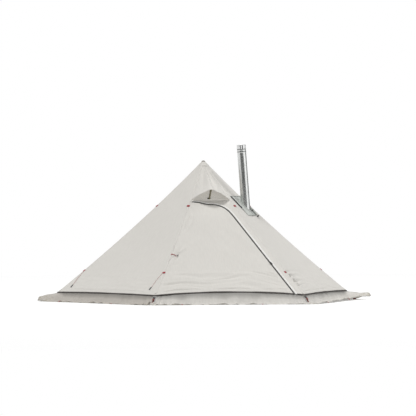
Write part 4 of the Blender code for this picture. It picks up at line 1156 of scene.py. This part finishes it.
def over_ridge(corner, low, high, leg, out, count, steps=3, stand=0.0):
    """A strip folded over the ridge that runs up from this corner."""
    rows = []
    for height in evenly(low, high, count):
        row = []
        for facing, signs in ((corner - 30, 1), (corner + 30, -1)):
            places = evenly(leg, 0.0, steps) if signs > 0 else evenly(0.0, leg, steps)[1:]
            for inset in places:
                lift = (out + stand * (1 - inset / leg) ** 2) if inset < leg or stand else cloth - 0.0008
                edge = half_width(height) if inset else 0.0
                if inset:
                    row.append(on_cloth(facing % 360, signs * (edge - inset), height, lift))
                else:
                    row.append(on_cloth(facing % 360, crest(height, lift), height, lift))
        last = len(row) - 1
        rows.append([
            (spot, (-leg + 2 * leg * i / last, (height - low) * wall_slope)) for i, spot in enumerate(row)
        ])
    return grid_part(rows)


seams = [over_ridge(corner, seam_low, seam_top, seam_leg, seam_base + 0.0005, 56) for corner in corners]


def apex_cap(bottom=cap_bottom, stand=0.0):
    """The reinforcement over the wall tops, with a turned lower edge and a soft point."""
    rows = []
    levels = [bottom] + evenly(bottom + 0.16 * (wall_top - bottom), wall_top - 0.004, 8)
    for height in levels:
        out = stand + (cloth - 0.0008 if height == bottom else seam_base + 0.0014)
        edge = crest(height, out)
        rows.append([
            (on_wall((corner + 30) % 360, across, height, out), (across, (height - bottom) * wall_slope))
            for corner in corners
            for across in evenly(-edge, edge, 6)[:-1]
        ])
    top = wall_top + 0.004 + stand
    for share, rise in ((0.55, 0.0035), (0.2, 0.0055), (0.0, 0.006)):
        rows.append([
            (
                Vector((p.x * share, p.y * share, top + rise - 0.004)),
                (a * share, (top - bottom) * wall_slope),
            )
            for p, (a, h) in rows[8]
        ])
    return grid_part(rows, close=True)


piece(
    "ridge_tapes_and_cap", joined(seams + [apex_cap()]), seam_tape, "tent", "canopy_cloth",
    ("ridge_seams_and_cap",), thickness=tape_thickness,
)
piece(
    "apex_tip", apex_cap(wall_top - tip_depth, tip_stand), tip_brown, "tent", "black_webbing",
    thickness=tape_thickness,
)
tags = [
    over_ridge(
        corner, height - tag_half, height + tag_half, tag_leg, seam_base + 0.0022, 4,
        steps=5, stand=0.0012,
    )
    for corner in corners
    for height in (tag_low, tag_high)
]
piece("guy_tags", joined(tags), webbing_red, "tent", "red_webbing", thickness=0.0016)


# Black webbing round the hem, folded over the cloth's edge

hem_band = 0.008


def hem_row(facing, across, corner_side=0):
    """Section of the band, from its inner edge round the bottom to its outer edge."""
    row = []
    edge = hem_height if corner_side else hem_at(facing, across)
    for rise, out in (
        (hem_band * 0.9, -0.0012), (0.0010, -0.0012), (-0.0008, 0.0006), (-0.0008, cloth + 0.0018),
        (0.0010, cloth + 0.0028), (hem_band * 0.5, cloth + 0.0030), (hem_band, cloth + 0.0026),
    ):
        level = edge + rise
        sideways = corner_side * crest(level, out) if corner_side else across
        row.append(on_cloth(facing, sideways, level, out))
    return row


def hem_run(facing, start, end, count):
    return [hem_row(facing, across) for across in evenly(start, end, count)]


def band_part(rows):
    return grid_part([
        [(spot, (i * 0.004, run)) for i, spot in enumerate(row)]
        for row, run in zip(rows, lengths_along([row[2] for row in rows]))
    ])


hem_half = half_width(hem_height)
fixed_band = hem_run(front, wall_edge[0][0] + 0.001, hem_half - 0.02, 6)
for facing in (right_front, right_back, back, left_back, left_front):
    fixed_band.append(hem_row(facing, 0, -1))
    fixed_band += hem_run(facing, -hem_half * 0.97, hem_half * 0.97, 60)
fixed_band.append(hem_row(front, 0, -1))
fixed_band += hem_run(front, -hem_half + 0.004, -strip_hem, 3)
piece(
    "hem_band", band_part(fixed_band), hem_black, "tent", "black_webbing", ("hem_webbing",),
    thickness=0.0009,
)
door_band = piece(
    "door_hem_band", band_part(hem_run(front, -strip_hem, door_edge[0][0] - 0.001, 60)), hem_black,
    None, "black_webbing", ("hem_webbing_door",), thickness=0.0009,
)
bend_at_hinge(door_band)


# Snow skirt in creased cloth with a frayed edge and small red peg loops

peg_loop_shares = (-0.62, 0.36)
skirt_middle = 0.87


def drawn_out(facing, share):
    """1 where the skirt is drawn out straight over its strap, at the left and right corners."""
    corner = (facing + (30 if share > 0 else -30)) % 360
    from_corner = (1 - abs(share)) * hem_half
    return corner, eased(1 - from_corner / corner_drape) if corner in drape_corners else 0.0


def skirt_spot(facing, share, run, out=0.0):
    """Share is -1 to 1 between the corners, run 0 to 1 from the hem to the edge."""
    outward, along = wall_directions(facing)
    corner, drawn = drawn_out(facing, share)
    phase = radians(facing) * 1.7
    side = share * skirt_middle
    # How far it reaches, uneven and frayed, and how it falls from the hem to the ground
    top = hem_at(facing, share * (hem_half - corner_slit / cos(half_turn)))
    reach = skirt_reach * (1 + 0.05 * sin(5.1 * share + phase) + 0.03 * sin(12.7 * share + 2 * phase))
    reach *= 1 + drape_corners.get(corner, 0.0) * drawn
    reach += 0.014 * ripple(side * 9, 0.0, phase) + 0.006 * ripple(side * 34, 1.0, phase)
    distance = reach * run
    fall = skirt_fall * (1 + 0.30 * ripple(side * 8, 4.0, phase) * (1 - drawn))
    left = max(0.0, 1 - distance / (fall + (reach - fall) * drawn))
    height = cloth / 2 + (top - 0.0007 - cloth / 2) * left ** (2 - drawn)
    # Waves, folds, and the raised tip on the right
    wave = 0.5 + 0.5 * sin(13.0 * share + phase + 2.0 * run)
    height += skirt_ripple * wave * max(0.0, run - 0.35) ** 1.3
    fold = ripple(side * 16 + 1.2 * run, run * 1.4, phase + 7)
    height += 0.024 * max(0.0, fold) * min(1.0, run * 2.2) * (1 - left * 0.6)
    tip = skirt_raise * (0.55 + 0.45 * share) if facing == right_front else 0.0
    if corner == 0:
        tip += (right_tip - tip) * drawn
    height += tip * run ** 1.5
    start = ridge_radius(top) * cos(half_turn) + cloth * 0.4
    # Pleats under the hem, and cloth bunched at the corners
    pleat = 0.012 * ripple(side * 24, run * 0.7, phase + 2) * min(1.0, run * 5) * (1 - run)
    from_corner = (1 - abs(share)) * hem_half
    bunch = max(0.0, 1 - from_corner / 0.13) * (1 - drawn)
    pleat += 0.010 * bunch * sin(from_corner * 150 + phase) * min(1.0, run * 4)
    gathered = 0.040 if corner == 240 else 0.014
    lump = max(0.0, sin(from_corner * 75 + 0.6 + run * 2)) + 0.4 * ripple(side * 40, run * 5, phase)
    height += gathered * bunch * max(0.0, lump) * min(1.0, run * 2) * (1 - 0.45 * run)
    # The turned-down edge where the cloth is drawn out over its strap
    if corner in drape_corners:
        turned = 1 - sqrt(max(0.0, 1 - (max(0.0, run - 0.86) / 0.14) ** 2))
        raised = 0.046 if corner == 180 else 0.012
        height += drawn * (raised * run - (raised + (0.030 if corner == 0 else 0.0)) * turned)
    slit = corner_slit * (1 - 0.97 * drawn)
    width = (start + distance) * tan(half_turn) - slit / cos(half_turn)
    spot = outward * (start + distance + pleat) + along * share * width
    return spot + Vector((0, 0, max(0.0006, height + out)))


def skirt_part(facing, share_from, share_to, columns, under=0.0, rows=18):
    """A skirt's cloth; under sets it back where the next skirt laps over it."""
    inward = wall_outward(facing) * -under
    runs = [(r / rows) ** 1.15 for r in range(rows + 1)]
    return grid_part([
        [(skirt_spot(facing, share, run) + inward, (share * skirt_middle, 0.22 * run)) for run in runs]
        for share in evenly(share_from, share_to, columns)
    ])


def loop_part(facing, share):
    """A narrow webbing loop from under the skirt's edge."""
    along = wall_along(facing)
    edge = skirt_spot(facing, share, 1)
    run = (edge - skirt_spot(facing, share, 0.93)).normalized()
    level = Vector((run.x, run.y, 0)).normalized()
    rows = []
    for step in evenly(0, 1, 10):
        round_off = max(0.35, 1 - max(0.0, step - 0.7) * 1.6)
        middle = edge + level * (0.026 * step - 0.006)
        middle.z = max(0.0012, edge.z * (1 - step) + 0.0016 * step + 0.0022 * sin(pi * step))
        rows.append([
            (middle + along * side * 0.006 * round_off, (side * 0.006, step * 0.026))
            for side in (-1, -0.4, 0.4, 1)
        ])
    return grid_part(rows)


zip_share = zip_bottom / hem_half
door_share = (hem_half - hinge_inset - 0.14) / hem_half
skirt_lap = 0.014
skirt_thickness = 0.0014
lapped_under = 0.0022
# The left and back skirts take the darker copy of the skirt cloth, as painted shade.
for name, facing, low, high, body, look in (
    ("skirt_left_front", left_front, -1, 1, "tent", skirt_shaded_copy),
    ("skirt_left_back", left_back, -1, 1, "tent", skirt_shaded_copy),
    ("skirt_back", back, -1, 1, "tent", skirt_shaded_copy),
    ("skirt_right_back", right_back, -1, 1, "tent", skirt_cloth),
    ("skirt_right_front", right_front, -1, 1, "tent", skirt_cloth),
    ("skirt_front_left", front, -1, -door_share + skirt_lap, "tent", skirt_cloth),
    ("skirt_door", front, -door_share, zip_share, "door", skirt_cloth),
    ("skirt_front_right", front, zip_share - skirt_lap, 1, "tent", skirt_cloth),
):
    under = lapped_under if name in ("skirt_front_left", "skirt_front_right") else 0.0
    made = piece(
        name + "_cloth", skirt_part(facing, low, high, max(8, ceil((high - low) * 110)), under), look,
        body, "skirt_cloth", (name,), thickness=skirt_thickness,
    )
    if high - low > 1:
        piece(
            name + "_loops", joined([loop_part(facing, share) for share in peg_loop_shares]),
            webbing_red, body, "red_webbing", thickness=0.0012,
        )


# Corner straps: webbing from the buckle down to a standing peg loop, with a free tail

loop_radius = 1.845
strap_half = 0.010
peg_loop_half_length = 0.0168
peg_loop_half_width = 0.0074
peg_loop_half_height = 0.0085
tail_length = 0.034


def band_along(path, across, half, swell=0.0):
    """A flat band of webbing along a path, slightly cupped across."""
    rows = []
    for i, (spot, run) in enumerate(zip(path, lengths_along(path))):
        before = path[max(0, i - 1)]
        after = path[min(len(path) - 1, i + 1)]
        face = across.cross(after - before).normalized()
        rows.append([
            (spot + across * side * half + face * swell * (1 - side * side), (side * half, run))
            for side in (-1, -0.5, 0, 0.5, 1)
        ])
    return grid_part(rows)


def standing_loop(middle, outward, along):
    """Webbing on edge round the place of a peg."""
    rows = []
    for turn in turns(28):
        place = middle + outward * peg_loop_half_length * cos(turn)
        place += along * peg_loop_half_width * sin(turn)
        rows.append([
            (place + Vector((0, 0, up)), (up, turn * 0.0125))
            for up in evenly(-peg_loop_half_height, peg_loop_half_height, 4)
        ])
    return grid_part(rows + rows[:1])


for corner, name in zip(corners, corner_names):
    outward, along = wall_directions(corner)
    buckle = outward * (corner_radius + 0.016) + Vector((0, 0, hem_height - 0.022))
    loop_middle = outward * loop_radius + Vector((0, 0, 0.009))
    down = (loop_middle - buckle).normalized()
    face = down.cross(along)
    if face.dot(outward) < 0:
        face = -face
    top = buckle + down * 0.0139 + face * 0.0016
    bottom = loop_middle - outward * 0.0165
    strap = [top + (bottom - top) * share - face * 0.0025 * sin(pi * share) for share in evenly(0, 1, 10)]
    tail_from = buckle + down * 0.0145 + face * 0.0040
    tail = [
        tail_from + down * tail_length * share + face * (0.006 * share * share)
        for share in evenly(0, 1, 7)
    ]
    piece(
        "strap_" + name,
        joined([band_along(strap, along, strap_half, 0.0004), band_along(tail, along, strap_half, 0.0006)]),
        strap_brown, "tent", "red_webbing", ("corner_strap_" + name,), thickness=webbing_thickness,
    )
    piece(
        "peg_loop_" + name, standing_loop(loop_middle, outward, along),
        strap_brown if name == "right" else webbing_black, "tent", "black_webbing",
        thickness=webbing_thickness,
    )


# Door tie-back: a loop at the ridge, and a toggle on its tab on the door

tie_across = half_width(tie_height)
toggle_half = 0.015
toggle_radius = 0.0045


def tie_spot(inset, height, out):
    return on_cloth(front, -(tie_across - inset), height, out)


loop_path = [
    tie_spot(0.003 + 0.022 * share, tie_height - 0.002 * share, cloth + 0.0030 + 0.006 * sin(pi * share))
    for share in evenly(0, 1, 10)
]
piece(
    "tie_loop", band_along(loop_path, wall_uphill(front, tie_height), 0.005), webbing_red, "tent",
    "red_webbing", ("tie_back_loop",), thickness=0.0012,
)
tab_path = [
    tie_spot(0.024 + (hinge_inset + 0.018) * share, tie_height - 0.002 - 0.018 * share, cloth + 0.0030)
    for share in evenly(0, 1, 12)
]
toggle_middle = tie_spot(hinge_inset + 0.046, tie_height - 0.0200, cloth + 0.0055)
toggle_line = (wall_along(front) - wall_uphill(front, tie_height) * 0.80).normalized()


def round_bar(start, end, radius, count=14):
    """A bar with softly rounded ends."""
    line = (end - start).normalized()
    side = line.orthogonal().normalized()
    other = line.cross(side)
    sections = []
    stops = [(0.0, 0.55), (0.06, 0.88), (0.14, 1.0), (0.86, 1.0), (0.94, 0.88), (1.0, 0.55)]
    for share, size in stops:
        middle = start + (end - start) * share
        sections.append([
            middle + (side * cos(t) + other * sin(t)) * radius * size
            for t in turns(count)
        ])
    return strip_part(sections)


piece(
    "tie_tab", band_along(tab_path, wall_uphill(front, tie_height), 0.0050), webbing_red, "door",
    "red_webbing", thickness=0.0014,
)
piece(
    "tie_toggle",
    round_bar(
        toggle_middle - toggle_line * toggle_half, toggle_middle + toggle_line * toggle_half, toggle_radius,
    ),
    black_plastic, "door", "black_plastic", ("tie_back_toggle",), outward=True,
)


# Webbing tab on the zip's pull

pull_low, pull_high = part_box("zip_pull")
pull_middle = (Vector(pull_low) + Vector(pull_high)) / 2
pull_out = wall_normal(front, 0.6)
tab_start = 0.004
tab_length = 0.036
pull_path = [
    pull_middle - zip_direction * (tab_start + tab_length * share)
    + pull_out * (0.0035 + 0.002 * sin(pi * share))
    for share in evenly(0, 1, 8)
]
piece(
    "pull_tab", band_along(pull_path, zip_direction.cross(pull_out), 0.010), webbing_black, "zip_pull",
    "black_webbing", thickness=0.0016,
)


# Rolled seams round the spark arrester, dark with their painted shadow

bead_out = 0.0016
bead_half = 0.0034
beads_below_end = (0.056, 0.086)
arrester_end = (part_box("spark_arrester")[1][2] - pipe_point.z) / pipe_axis.z


def rolled_seam(below_end):
    """A thin bead round the pipe, coloured dark as its painted shadow."""
    rows = []
    middle = pipe_point + pipe_axis * (arrester_end - below_end)
    for turn in evenly(0, 2 * pi, 60):
        away = pipe_away(turn)
        row = []
        for i, side in enumerate(turns(10)):
            spot = middle + away * (pipe_radius + bead_out * sin(side)) + pipe_axis * bead_half * cos(side)
            row.append((spot, (0.002 * i, turn * pipe_radius)))
        rows.append(row)
    return grid_part(rows, close=True)


seams_round = piece(
    "arrester_seams", joined([rolled_seam(below_end) for below_end in beads_below_end]), seam_shadow,
    "spark_arrester", "stainless",
)
merge_close(seams_round)
face_outward(seams_round)


# Stove jack: fibreglass patch, sleeve round the pipe, hook tape and rolled rain flap

patch_left = -0.128
patch_right = 0.178
patch_splay = 0.036
binding_width = 0.011
roll_radius = 0.0094
roll_turns = 1.35
patch_bottom = jack_height - 0.085
patch_top = jack_height + 0.147
patch_base = cloth + 0.0006
patch_face = patch_base + 0.0025


def on_patch(across, height, out=0.0):
    """The patch's face, swollen a little round the pipe and slack elsewhere."""
    swell = 0.0120 * ripple(across * 13, height * 11, 6.0) + 0.0040 * ripple(across * 34, height * 30, 2.0)
    beside = min(across - patch_left + 0.02, patch_right - across)
    edge = min(beside, patch_top - height, height - patch_bottom)
    swell = max(-0.0025, swell) * held(edge / 0.03)
    near = bell(wall_gap((across, height), (jack_across, jack_height)), 0.075, 0.04)
    return on_cloth(right_front, across, height, patch_base + 0.0022 + swell + 0.0025 * near + out)


patch_outline = [
    (patch_left, patch_bottom + 0.018), (patch_left + 0.006, patch_bottom + 0.005),
    (patch_left + 0.024, patch_bottom), (patch_right - 0.024, patch_bottom),
    (patch_right - 0.006, patch_bottom + 0.005), (patch_right, patch_bottom + 0.018),
    (patch_right - 0.004, patch_top), (patch_left - patch_splay, patch_top),
]
dense_outline = []
for i, (a, h) in enumerate(patch_outline):
    b, k = patch_outline[(i + 1) % len(patch_outline)]
    steps = max(1, int(wall_gap((a, h), (b, k)) / 0.012))
    dense_outline += [(a + (b - a) * j / steps, h + (k - h) * j / steps) for j in range(steps)]
patch_hole = pipe_ring(pipe_radius + 0.0030, patch_base + 0.0011, 40)
patch = piece(
    "jack_patch_cloth", cloth_part(dense_outline, on_patch, spacing=0.013, holes=[patch_hole]),
    jack_cloth, "tent", "jack_fibreglass", ("jack_patch",), thickness=0.0020,
)


def patch_binding():
    """Folded tape sewn round the patch's edge."""
    rows = []
    run = 0.0
    before = dense_outline[0]
    for a, h in dense_outline + dense_outline[:1]:
        run += wall_gap((a, h), before)
        before = (a, h)
        inward = Vector((0.02 - a, ((patch_top + patch_bottom) / 2 - h) * wall_slope)).normalized()
        inward *= binding_width
        rows.append([
            (on_patch(a + inward.x * share, h + inward.y * share / wall_slope, out), (x, run))
            for share, out, x in (
                (-0.10, -0.0010, 0.0), (-0.06, 0.0008, 0.002), (0.4, 0.0014, 0.0055),
                (1.0, 0.0012, binding_width),
            )
        ])
    return grid_part(rows)


piece("jack_binding", patch_binding(), jack_tape, "tent", "jack_fibreglass", thickness=0.0010)


def sleeve_rings():
    """The sleeve: a flange sewn to the patch and a gathered cuff up the pipe."""
    rows = []
    inner = pipe_radius + 0.0006
    for k in range(73):
        turn = 2 * pi * (k % 72) / 72
        away = pipe_away(turn)
        low_inner = pipe_meets_wall(inner, turn, patch_face + 0.0008)
        low_outer = pipe_meets_wall(inner + 0.026, turn, patch_face + 0.0012)
        gather = 0.0011 * sin(22 * turn + 1.2 * sin(3 * turn))
        profile = (
            (inner + 0.027, low_outer), (inner + 0.016, low_outer * 0.62 + low_inner * 0.38 + 0.002),
            (inner + 0.006, low_inner + 0.0045), (inner + 0.0030 + gather, low_inner + 0.011),
            (inner + 0.0024 + gather, low_inner + 0.020),
            (inner + 0.0018 + gather * 0.5, low_inner + 0.030),
            (inner + 0.0016, low_inner + 0.034), (inner + 0.0004, low_inner + 0.0345),
        )
        rows.append([
            (pipe_point + away * r + pipe_axis * d, (0.006 * i, turn * pipe_radius))
            for i, (r, d) in enumerate(profile)
        ])
    return grid_part(rows)


piece(
    "jack_sleeve", sleeve_rings(), jack_cloth, "tent", "jack_fibreglass", ("jack_collar",),
    thickness=0.0014,
)
hook_left = patch_left - patch_splay + 0.012
hook_right = patch_left + 0.006


def hook_row(share):
    """Section of the hook tape, share of the way down the patch's slanting edge."""
    across = hook_left + (hook_right - hook_left) * share
    height = patch_top + (patch_bottom - patch_top) * share
    return [
        on_patch(across + side, height, out)
        for side, out in ((-0.014, 0.0010), (-0.010, 0.0060), (0.010, 0.0060), (0.014, 0.0010))
    ]


hook_rows = [
    [(spot, (0.004 * i, 0.012 * r)) for i, spot in enumerate(hook_row(share))]
    for r, share in enumerate(evenly(0.04, 0.62, 16))
]
piece(
    "hook_tape", grid_part(hook_rows), hook_look, "tent", "black_webbing", ("jack_hook_tape",),
    thickness=0.0015,
)
roll_across = patch_right + 0.014


def rolled_flap():
    """The rain flap rolled up beside the patch: a spiral of cloth, a little uneven."""
    rows = []
    along = wall_along(right_front)
    for height in evenly(patch_bottom + 0.006, patch_top - 0.004, 26):
        middle = on_cloth(right_front, roll_across, height, cloth + 0.0105)
        normal = wall_normal(right_front, height)
        row = []
        for k in range(31):
            turn = 2 * pi * roll_turns * k / 30
            radius = roll_radius - 0.0022 * k / 30 + 0.0009 * ripple(height * 26, turn * 0.8, 2.0)
            spot = middle + along * radius * cos(turn) + normal * radius * sin(turn)
            row.append((spot, (0.0026 * k, (height - patch_bottom) * wall_slope)))
        rows.append(row)
    return grid_part(rows)


piece(
    "rain_flap_roll", rolled_flap(), jack_cloth, "tent", "jack_fibreglass", ("jack_rain_flap",),
    thickness=0.0010,
)
toggle_place = on_cloth(right_front, roll_across + 0.004, patch_bottom - 0.010, cloth + 0.0115)
across_wall = wall_along(right_front)
flap_toggle_half = (across_wall - wall_uphill(right_front, patch_bottom) * 0.3).normalized() * 0.017
piece(
    "flap_toggle", round_bar(toggle_place - flap_toggle_half, toggle_place + flap_toggle_half, 0.0100),
    black_plastic, "tent", "black_plastic", outward=True,
)
for level in (0.25, 0.78):
    height = patch_bottom + (patch_top - patch_bottom) * level
    middle = on_cloth(right_front, roll_across, height, cloth + 0.0100)
    normal = wall_normal(right_front, height)
    ring = [middle + (across_wall * cos(t) + normal * sin(t)) * 0.0108 for t in evenly(-0.4, pi + 0.4, 14)]
    piece(
        "flap_tie_" + str(int(level * 100)), band_along(ring, wall_uphill(right_front, height), 0.005),
        webbing_black, "tent", "black_webbing", thickness=0.0010,
    )


# Guy-lines that hang on the front-left wall to their tensioners

cord_radius = 0.00135
cord_drop = 0.150


def guy_line(side, across, sway):
    """The cord from a ridge tag down to its tensioner, on the front-left wall."""
    top = tag_low - tag_half - 0.001
    bottom = top - cord_drop
    out = cloth + cord_radius + 0.0006
    curve = bpy.data.curves.new("guy_cord_" + side, "CURVE")
    curve.dimensions = "3D"
    curve.bevel_depth = cord_radius
    curve.bevel_resolution = 3
    curve.use_fill_caps = True
    line = curve.splines.new("POLY")
    path = []
    for share in evenly(0, 1, 40):
        aside = sway * sin(pi * share) + 0.0016 * sin(3 * pi * share)
        height = top + (bottom - top) * share
        path.append(on_wall(left_front, across + aside, height, out + 0.0030 * sin(pi * share)))
    line.points.add(len(path) - 1)
    for point, place in zip(line.points, path):
        point.co = (*place, 1.0)
    curve.materials.append(cord_red)
    made = bpy.data.objects.new("guy_cord_" + side, curve)
    bpy.context.collection.objects.link(made)
    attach(made, "tent")
    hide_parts("guy_line_" + side)
    lengths_along(path)[-1]


guy_line("left", -tensioner_across, -0.003)
guy_line("front", tensioner_across, -0.003)


# Camera: a long lens from the photograph's place

scene = bpy.context.scene
camera_data = bpy.data.cameras.new("camera")
camera_data.sensor_width = 36
focal_pixels = 3377.4
image_pixels = 416
camera_data.lens = focal_pixels / image_pixels * camera_data.sensor_width
camera_data.clip_end = 200
camera = bpy.data.objects.new("camera", camera_data)
scene.collection.objects.link(camera)
camera_place = (-8.01, -39.19, 1.284)
camera_turn = radians(11.63)
camera_dip = radians(-0.274)
camera.location = camera_place
camera_aim = Vector((
    sin(camera_turn) * cos(camera_dip), cos(camera_turn) * cos(camera_dip), sin(camera_dip),
))
camera.rotation_mode = "QUATERNION"
camera.rotation_quaternion = camera_aim.to_track_quat("-Z", "Y")
scene.camera = camera


# Floor, light and background

def stage_sheet(name, points, faces, look):
    """A surface that belongs to the stage and not to the tent."""
    mesh = bpy.data.meshes.new(name)
    mesh.from_pydata(points, [], faces)
    mesh.materials.append(look.material)
    made = bpy.data.objects.new(name, mesh)
    scene.collection.objects.link(made)
    return made


# The floor looks white to the camera yet keeps the shadow under the tent.
floor_look = Look("floor_look", 0.9)
floor_look.surface(
    Base_Color=(0.86, 0.86, 0.86, 1), Specular_IOR_Level=0.0,
    Emission_Color=(1, 1, 1, 1), Emission_Strength=0.22,
)
floor_half = 12.0
floor_points = [(x * floor_half, y * floor_half, 0) for x, y in ((-1, -1), (1, -1), (1, 1), (-1, 1))]
stage_sheet("floor", floor_points, [[0, 1, 2, 3]], floor_look)

world = bpy.data.worlds.new("world")
world.use_nodes = True
scene.world = world
world_nodes = world.node_tree.nodes
world_links = world.node_tree.links


def background(node, strength):
    """The node as a white background of this strength."""
    node.inputs["Color"].default_value = (1.0, 1.0, 1.0, 1.0)
    node.inputs["Strength"].default_value = strength
    return node.outputs["Background"]


soft = background(world_nodes["Background"], 0.30)
white = background(world_nodes.new("ShaderNodeBackground"), 1.0)
paths = world_nodes.new("ShaderNodeLightPath")
choose = world_nodes.new("ShaderNodeMixShader")
metal_sky = background(world_nodes.new("ShaderNodeBackground"), 1.0)
by_metal = world_nodes.new("ShaderNodeMixShader")
for start, end in (
    (paths.outputs["Is Glossy Ray"], by_metal.inputs["Fac"]),
    (soft, by_metal.inputs[1]),
    (metal_sky, by_metal.inputs[2]),
    (paths.outputs["Is Camera Ray"], choose.inputs["Fac"]),
    (by_metal.outputs["Shader"], choose.inputs[1]),
    (white, choose.inputs[2]),
    (choose.outputs["Shader"], world_nodes["World Output"].inputs["Surface"]),
):
    world_links.new(start, end)


def lamp(name, kind, energy, place, aim, **settings):
    """A lamp at a place that points along aim."""
    data = bpy.data.lights.new(name, kind)
    data.energy = energy
    for key, value in settings.items():
        setattr(data, key, value)
    made = bpy.data.objects.new(name, data)
    scene.collection.objects.link(made)
    made.location = place
    made.rotation_mode = "QUATERNION"
    made.rotation_quaternion = aim.to_track_quat("-Z", "Y")
    return made


tent_middle = Vector((0, 0, 0.6))
fill_place = Vector((5.5, -1.5, 6.0))
shine_place = Vector((6.5, -5.0, 3.5))
lamp("high sun", "SUN", 1.95, (0, 0, 0), Vector((0.26, 0.20, -0.945)), angle=radians(13))
fill = lamp("fill", "AREA", 130, fill_place, tent_middle - fill_place, shape="DISK", size=4.0)
fill.visible_glossy = False
shine = lamp("shine", "AREA", 40, shine_place, tent_middle - shine_place, shape="DISK", size=5.0)
shine.visible_diffuse = False


towards_camera = -90 - 11.6


def shade_card(name, turn_from, turn_to, distance=7.0):
    """A dark upright card beside the camera's line, seen only in the metal's reflection."""
    look = Look(name + "_look", 1.0)
    look.surface(Base_Color=(0.14, 0.145, 0.14, 1))
    points = []
    for turn in evenly(turn_from, turn_to, 8):
        direction = radians(towards_camera + turn)
        side = pipe_point + Vector((cos(direction), sin(direction), 0)) * distance
        points += [Vector((side.x, side.y, 0.3)), Vector((side.x, side.y, 5.0))]
    faces = [[2 * i, 2 * i + 2, 2 * i + 3, 2 * i + 1] for i in range(8)]
    made = stage_sheet(name, points, faces, look)
    made.visible_camera = False
    made.visible_diffuse = False
    made.visible_shadow = False
    made.visible_transmission = False


shade_card("shade_card_front", -50, 40)
shade_card("shade_card_side", 110, 170)
vent_light_place = Vector((-0.9, -5.2, 0.75))
vent_middle = Vector((-0.01, -0.42, 1.235))
lamp(
    "vent spot", "SPOT", 225, vent_light_place, vent_middle - vent_light_place,
    spot_size=radians(5.2), spot_blend=1.0, shadow_soft_size=0.15,
)

scene.view_settings.view_transform = "Standard"
scene.render.resolution_percentage = 100
